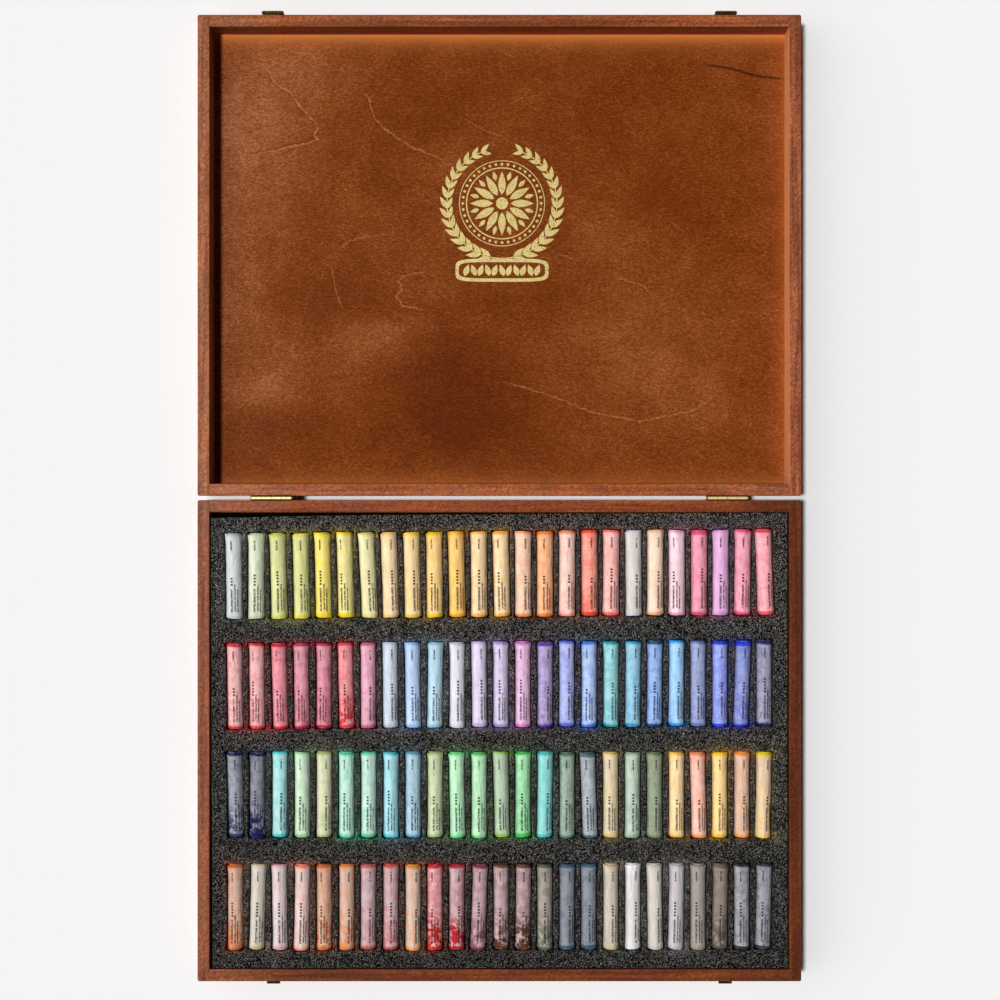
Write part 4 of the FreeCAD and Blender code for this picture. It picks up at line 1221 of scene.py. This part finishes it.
def sheet_shape():
    """Points and faces of the plain sheet under the tray."""
    low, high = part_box("foam_base_sheet")
    edge = [(low.x, low.y), (high.x, low.y), (high.x, high.y), (low.x, high.y)]
    flat, tops, borders = cut_sheet(edge, [], SHEET_STEP)
    count = len(flat)
    points = [(x, y, high.z - SHEET_SAG + waver(x, y, 40.0, SHEET_SAG, 8.0)) for x, y in flat]
    points += [(x, y, low.z) for x, y in flat]
    faces = [tuple(face) for face in tops] + [tuple(count + n for n in face[::-1]) for face in tops]
    rim = borders[0]
    faces += [(count + a, count + b, b, a) for a, b in zip(rim, rim[1:] + rim[:1])]
    return points, faces


def foam_speck_group():
    group, start = new_group("foam_speck", {"Place": "Vector"}, ("Cell", "Glint", "Patch"))
    fine = cloud(start["Place"], 1350.0, 1.0, 0.8)
    inputs = {"Vector": start["Place"], "Scale": 1600.0, "Randomness": 1.0}
    cell = result(group, "ShaderNodeTexVoronoi", inputs, "Color")
    parts = add_node(group, "ShaderNodeSeparateColor", {0: cell}).outputs
    glint, shine = Value(group, parts[0]), Value(group, parts[1])
    add_node(group, "NodeGroupOutput", {
        "Cell": spread(fine, 0.38, 0.62) * spread(shine, 0.25, 0.95),
        "Glint": spread(glint, 0.92, 0.98),
        "Patch": cloud(start["Place"], 70.0, 4.0, 0.6),
    })
    return group


foam_speck = foam_speck_group()


def foam_material(name, dusty):
    material, tree, place = new_material(name)
    # The plain sheet gets painted shade: its colours are scaled almost to black.
    shade = 1.0 if dusty else PLAIN_SHEET_PAINTED_SHADE
    dark, light, glint = (scaled(screen(*tone), shade) for tone in (CELL_DARK, CELL_LIGHT, CELL_GLINT))
    speck = use_group(tree, foam_speck, {"Place": place})
    colour = mix_colour(speck["Cell"], dark, light)
    colour = mix_colour(speck["Glint"] * 0.7, colour, glint)
    toward_back = spread(axes(place)[1], -0.36, 0.0, 0.7, 1.0, False)
    colour = shaded(colour, spread(speck["Patch"], 0.3, 0.7, 0.8, 1.12) * toward_back)
    if dusty:
        share = own_value(tree, "dust", "Alpha") * spread(speck["Patch"], 0.35, 0.62)
        share = share * spread(speck["Cell"], 0.2, 0.9, 0.2, 1.0)
        colour = mix_colour(share, colour, own_value(tree, "dust", "Color"))
    finish_material(tree, {
        "Base Color": colour,
        "Roughness": spread(speck["Patch"], 0.3, 0.7, 0.86, 0.96),
        "Specular IOR Level": 0.015,
        "Normal": relief(speck["Glint"] * 0.4 + speck["Cell"] * 0.6, 0.35 * MM),
    })
    return material


def dust_at(spot):
    """The pigment that has settled at this spot, and how much of it."""
    def apart(stick):
        return abs(stick["middle"].x - spot.x) + 0.4 * abs(stick["middle"].y - spot.y)

    nearest = min(sticks, key=apart)
    along = abs(spot.y - nearest["middle"].y) - STICK_HALF
    aside = max(0.0, abs(spot.x - nearest["middle"].x) - DUSTY_HALF_WIDTH)
    if along > -DUSTY_END:
        amount = END_DUST * math.exp(-math.hypot(max(0.0, along), aside) / END_DUST_FADE)
    else:
        amount = SIDE_DUST * math.exp(-aside / SIDE_DUST_FADE)
    return (*nearest["pigment"][:3], amount * (0.5 + nearest["chance"]))


foam_tray = mesh_piece("foam_tray", *tray_shape(), foam_material("slotted_foam", True))
dust = [dust_at(vertex.co) for vertex in foam_tray.data.vertices]
keep_values(foam_tray.data, "dust", "FLOAT_COLOR", dust)
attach(foam_tray, "foam_insert")
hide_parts("foam_bars", *[f"foam_webs_row_{row}" for row in (1, 2, 3, 4)])

foam_sheet = mesh_piece("foam_sheet", *sheet_shape(), foam_material("plain_foam_in_painted_shade", False))
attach(foam_sheet, "base")
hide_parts("foam_base_sheet")


# Sticks: soft pastels pressed from chalk and pigment, a little uneven, with crumbled rims. Only
# their ends show beyond the labels. One piece for each set of five neighbours.

STICK_RADIUS = 5.6 * MM
STICK_CRUMBLE = 1.4 * MM
SET_SIZE = 5


def kept_field(mesh, name, field):
    """Stores a vector on each point of a mesh while it grows."""
    inputs = {"Geometry": mesh, "Name": name, "Value": field}
    settings = {"data_type": "FLOAT_VECTOR", "domain": "POINT"}
    return result(mesh.tree, "GeometryNodeStoreNamedAttribute", inputs, **settings)


def laid_down(mesh, across, along, up):
    """Moves each point to its place round its stick's middle, turned as the stick is turned."""
    tree = mesh.tree
    inputs = {"Vector": vector_of(across, along, up), "Angle": own_field(tree, "turn")}
    turned = result(tree, "ShaderNodeVectorRotate", inputs, rotation_type="Z_AXIS")
    place = vector_calc("ADD", turned, own_field(tree, "middle", "FLOAT_VECTOR"))
    moved = result(tree, "GeometryNodeSetPosition", {"Geometry": mesh, "Position": place})
    return result(tree, "GeometryNodeSetShadeSmooth", {"Geometry": moved})


def stick_spots(name, members):
    """Loose points at the middles of some sticks, with all that the trees and materials need."""
    middles = [tuple(stick["middle"]) for stick in members]
    values = {"middle": ("FLOAT_VECTOR", middles)}
    for label in ("turn", "chance", "slack", "top", "foot", "smear"):
        values[label] = ("FLOAT", [stick[label] for stick in members])
    for label in ("pigment", "label"):
        values[label] = ("FLOAT_COLOR", [stick[label] for stick in members])
    return spots_mesh(name, middles, values)


def pressed_chalk():
    material, tree, place = new_material("pressed_chalk")
    pigment = own_value(tree, "pigment", "Color")
    grit = cloud(place, 1500.0, 3.0, 0.7)
    rubbed = cloud(place, 320.0, 4.0, 0.6)
    colour = mix_colour(spread(rubbed, 0.35, 0.7), pigment, screen(250, 246, 240))
    colour = mix_colour(0.82, colour, pigment)
    finish_material(tree, {
        "Base Color": mix_colour(spread(grit, 0.3, 0.45, 0.35, 0.0), colour, screen(30, 26, 24)),
        "Roughness": spread(rubbed, 0.3, 0.7, 0.85, 0.95),
        "Specular IOR Level": 0.1,
        "Normal": relief(grit, 0.12 * MM),
    })
    return material


def sticks_tree():
    """A rod at every point, with lumpy, slightly narrowed and crumbled ends."""
    inputs = {"Radius": "Float", "Half Length": "Float", "Finish": "Material"}
    tree, start = new_tree("chalk_sticks", inputs)
    inputs = {"Vertices": 20, "Side Segments": 12, "Fill Segments": 2, "Radius": 1.0, "Depth": 2.0}
    cylinder = result(tree, "GeometryNodeMeshCylinder", inputs, "Mesh")
    shape = kept_field(cylinder, "rod", result(tree, "GeometryNodeInputPosition"))
    mesh = copied(start["Geometry"], shape)
    rod = own_field(tree, "rod", "FLOAT_VECTOR")
    across, up, along = axes(rod)
    shift = stretched(own_field(tree, "middle", "FLOAT_VECTOR"), 200.0, 200.0, 0.0)
    near_end = spread(abs(along), 0.9, 1.0)
    lumps = (cloud(vector_calc("ADD", rod, shift), 2.4, 4.0, 0.65) - 0.5) * near_end
    girth = calc("MINIMUM", 1.0 - near_end * 0.05 + lumps * 0.22, 1.0)
    radius = start["Radius"] * girth
    length = along * start["Half Length"] - lumps * STICK_CRUMBLE * along
    end_tree(laid_down(mesh, across * radius, length, up * radius), start["Finish"])
    return tree


chalk = pressed_chalk()
chalk_sticks = sticks_tree()
stick_settings = {"Radius": STICK_RADIUS, "Half Length": STICK_HALF, "Finish": chalk}
for row in range(4):
    neighbours = [stick for stick in sticks if stick["row"] == row]
    for number in range(5):
        members = neighbours[SET_SIZE * number:SET_SIZE * (number + 1)]
        place_name = f"row_{row + 1}_set_{number + 1}"
        spots = stick_spots(f"pastels_{place_name}", members)
        piece = grow(f"chalk_{place_name}", spots, chalk_sticks, stick_settings)
        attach(piece, f"pastels_{row + 1}")
        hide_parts(f"pastels_{place_name}")


# Labels: a sheet of thin paper rolled round each stick, lapped underneath and pinched out into
# pleats at both ends, tinted by the pigment and printed with dots and short rules.

LABEL_BORE = 5.65 * MM
LABEL_THICKNESS = 0.12 * MM
LABEL_LAP = 0.35
LABEL_HALF = 31.6 * MM
LAP_RISE = 0.16 * MM
FOOT_SWELL, TOP_SWELL = 0.22 * MM, 0.74 * MM
PLEAT_DEPTH = 0.11 * MM
DENT_DEPTH = 0.7 * MM
END_SKEW = 0.7 * MM
RAGGED_EDGE = 1.6 * MM
PRINT_INK = (24, 20, 24)
RULE_INK = (34, 30, 34)
DOT_PITCH = 0.0365
DOTS_START = 0.378
DOT_COLUMN, DOT_COLUMN_HALF = 0.500, 0.019
DOT_SHARE = 0.31

# Each printed rule has its middle and half width round the label, and its ends along it, as shares.
RULES = (
    (0.503, 0.019, 0.07, 0.35), (0.440, 0.014, 0.08, 0.40),
    (0.392, 0.014, 0.07, 0.34), (0.500, 0.015, 0.80, 0.92),
)


def labels_tree():
    """A rolled sheet at every point, dented, lapped, and flared and pleated at its ends."""
    tree, start = new_tree("rolled_labels", {
        "Bore": "Float", "Thickness": "Float", "Lap": "Float", "Half Length": "Float", "Finish": "Material",
    })
    inputs = {"Size": (1, 1, 1), "Vertices X": 33, "Vertices Y": 17, "Vertices Z": 2}
    slab = result(tree, "GeometryNodeMeshCube", inputs, "Mesh")
    from_corner = vector_calc("ADD", result(tree, "GeometryNodeInputPosition"), (0.5, 0.5, 0.5))
    mesh = copied(start["Geometry"], kept_field(slab, "sheet", from_corner))
    sheet = own_field(tree, "sheet", "FLOAT_VECTOR")
    around, along, through = axes(sheet)
    luck = own_field(tree, "chance")
    angle = around * (start["Lap"] + math.tau) + (luck * 0.7 - (math.pi / 2 + 0.5))
    from_middle = along * 2.0 - 1.0
    flare = spread(abs(from_middle), 0.80, 0.98)
    swell = flare * spread(spread(along, 0.4, 0.6), 0.0, 1.0, FOOT_SWELL, TOP_SWELL)
    swell = swell * (calc("FRACT", luck * 17.0) + 0.3)
    pleats = calc("SINE", angle * 9.0 + luck * 40.0) * (flare * PLEAT_DEPTH)
    dent_place = vector_calc("ADD", stretched(sheet, 5.0, 9.0, 0.0), vector_of(0.0, 0.0, luck * 60.0))
    dents = (cloud(dent_place, 1.0, 3.0, 0.6) - 0.5) * DENT_DEPTH
    layer = through * start["Thickness"]
    radius = layer + (start["Bore"] + own_field(tree, "slack")) + around * LAP_RISE
    radius = largest(radius + swell + pleats + dents, layer + start["Bore"])
    skew = calc("SINE", luck * 25.0 + angle) * (flare * END_SKEW)
    reach = from_middle * start["Half Length"] + skew
    mesh = laid_down(mesh, radius * calc("COSINE", angle), reach, radius * calc("SINE", angle))
    end_tree(mesh, start["Finish"])
    return tree


def smudged(tree, along, stained, flecked):
    """How much of the paper is hidden by pigment: dusty ends, bare bands, smears and flecks."""
    dusty = spread(abs(along * 2.0 - 1.0), 0.90, 0.99) * spread(stained, 0.3, 0.6, 0.35, 0.95)
    dusty = dusty + spread(stained, 0.42, 0.68, 0.0, 0.42)
    ragged = stained * RAGGED_EDGE - RAGGED_EDGE / 2
    bands = []
    for end, from_end in (("foot", along), ("top", 1.0 - along)):
        bare = own_value(tree, end)
        away = from_end * (2 * LABEL_HALF) + ragged
        bands.append(spread(away, bare * 0.75, bare * 1.1, 0.9, 0.0))
    lower = spread(along, 0.1, 0.5, 1.0, 0.25)
    smear = own_value(tree, "smear") * lower * spread(stained, 0.42, 0.55)
    flecks = spread(flecked, 0.56, 0.64, 0.0, 0.6) * lower * spread(stained, 0.4, 0.6)
    return largest(dusty, *bands, smear, flecks)


def printed(colour, around, along, luck):
    """The colour with a column of dots and some broken rules printed on it."""
    around = around + (calc("FRACT", luck * 7.3) * 0.05 - 0.02)
    count = calc("FLOOR", calc("FRACT", luck * 31.7) * 3.4 + 2.6)
    step = calc("DIVIDE", along - DOTS_START, DOT_PITCH)
    in_dot = calc("LESS_THAN", abs(calc("FRACT", step) - 0.5), DOT_SHARE)
    in_column = calc("LESS_THAN", abs(around - DOT_COLUMN), DOT_COLUMN_HALF)
    in_count = calc("GREATER_THAN", step, 0.0) * calc("LESS_THAN", step, count)
    colour = mix_colour(in_dot * in_column * in_count * 0.95, colour, screen(*PRINT_INK))
    dash_place = vector_of(around * 60.0, along * 60.0, luck * 500.0)
    lines = []
    for middle, half, low, high in RULES:
        line = spread(abs(around - middle), half * 0.7, half * 1.3, 1.0, 0.0)
        lines.append(line * (calc("GREATER_THAN", along, low) * calc("LESS_THAN", along, high)))
    rules = largest(*lines) * spread(cloud(dash_place, 1.0, 1.0, 0.5), 0.38, 0.46)
    return mix_colour(rules * 0.86, colour, screen(*RULE_INK))


def label_paper():
    material, tree, place = new_material("label_paper")
    around, along, _ = axes(own_value(tree, "sheet", "Vector"))
    luck = own_value(tree, "chance")
    fibre = cloud(place, 1400.0, 3.0, 0.6)
    stained = cloud(place, 190.0, 4.0, 0.65, 0.5)
    crease = cloud(vector_of(around * 15.0, along * 4.5, luck * 90.0), 1.0, 3.0, 0.6, 0.5)
    smudge = smudged(tree, along, stained, cloud(place, 620.0, 2.0, 0.6))
    colour = mix_colour(smudge, own_value(tree, "label", "Color"), own_value(tree, "pigment", "Color"))
    colour = printed(colour, around, along, luck)
    # The creases also make the colour a little lighter and darker: painted shade and highlight along the
    # wrinkles, besides the fibre's own tone.
    tone = spread(fibre, 0.3, 0.7, 0.96, 1.06) * spread(crease, 0.3, 0.7, 0.90, 1.12)
    finish_material(tree, {
        "Base Color": shaded(colour, tone),
        "Roughness": spread(stained, 0.3, 0.7, 0.62, 0.8),
        "Specular IOR Level": 0.15,
        "Normal": relief(fibre * 0.12 + crease, 0.8 * MM),
    })
    return material


rolled_labels = labels_tree()
label_settings = {
    "Bore": LABEL_BORE, "Thickness": LABEL_THICKNESS, "Lap": LABEL_LAP,
    "Half Length": LABEL_HALF, "Finish": label_paper(),
}
for row in range(4):
    spots = stick_spots(f"label_spots_{row + 1}", [stick for stick in sticks if stick["row"] == row])
    piece = grow(f"labels_row_{row + 1}", spots, rolled_labels, label_settings)
    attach(piece, f"pastels_{row + 1}")
    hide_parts(f"wrappers_row_{row + 1}")
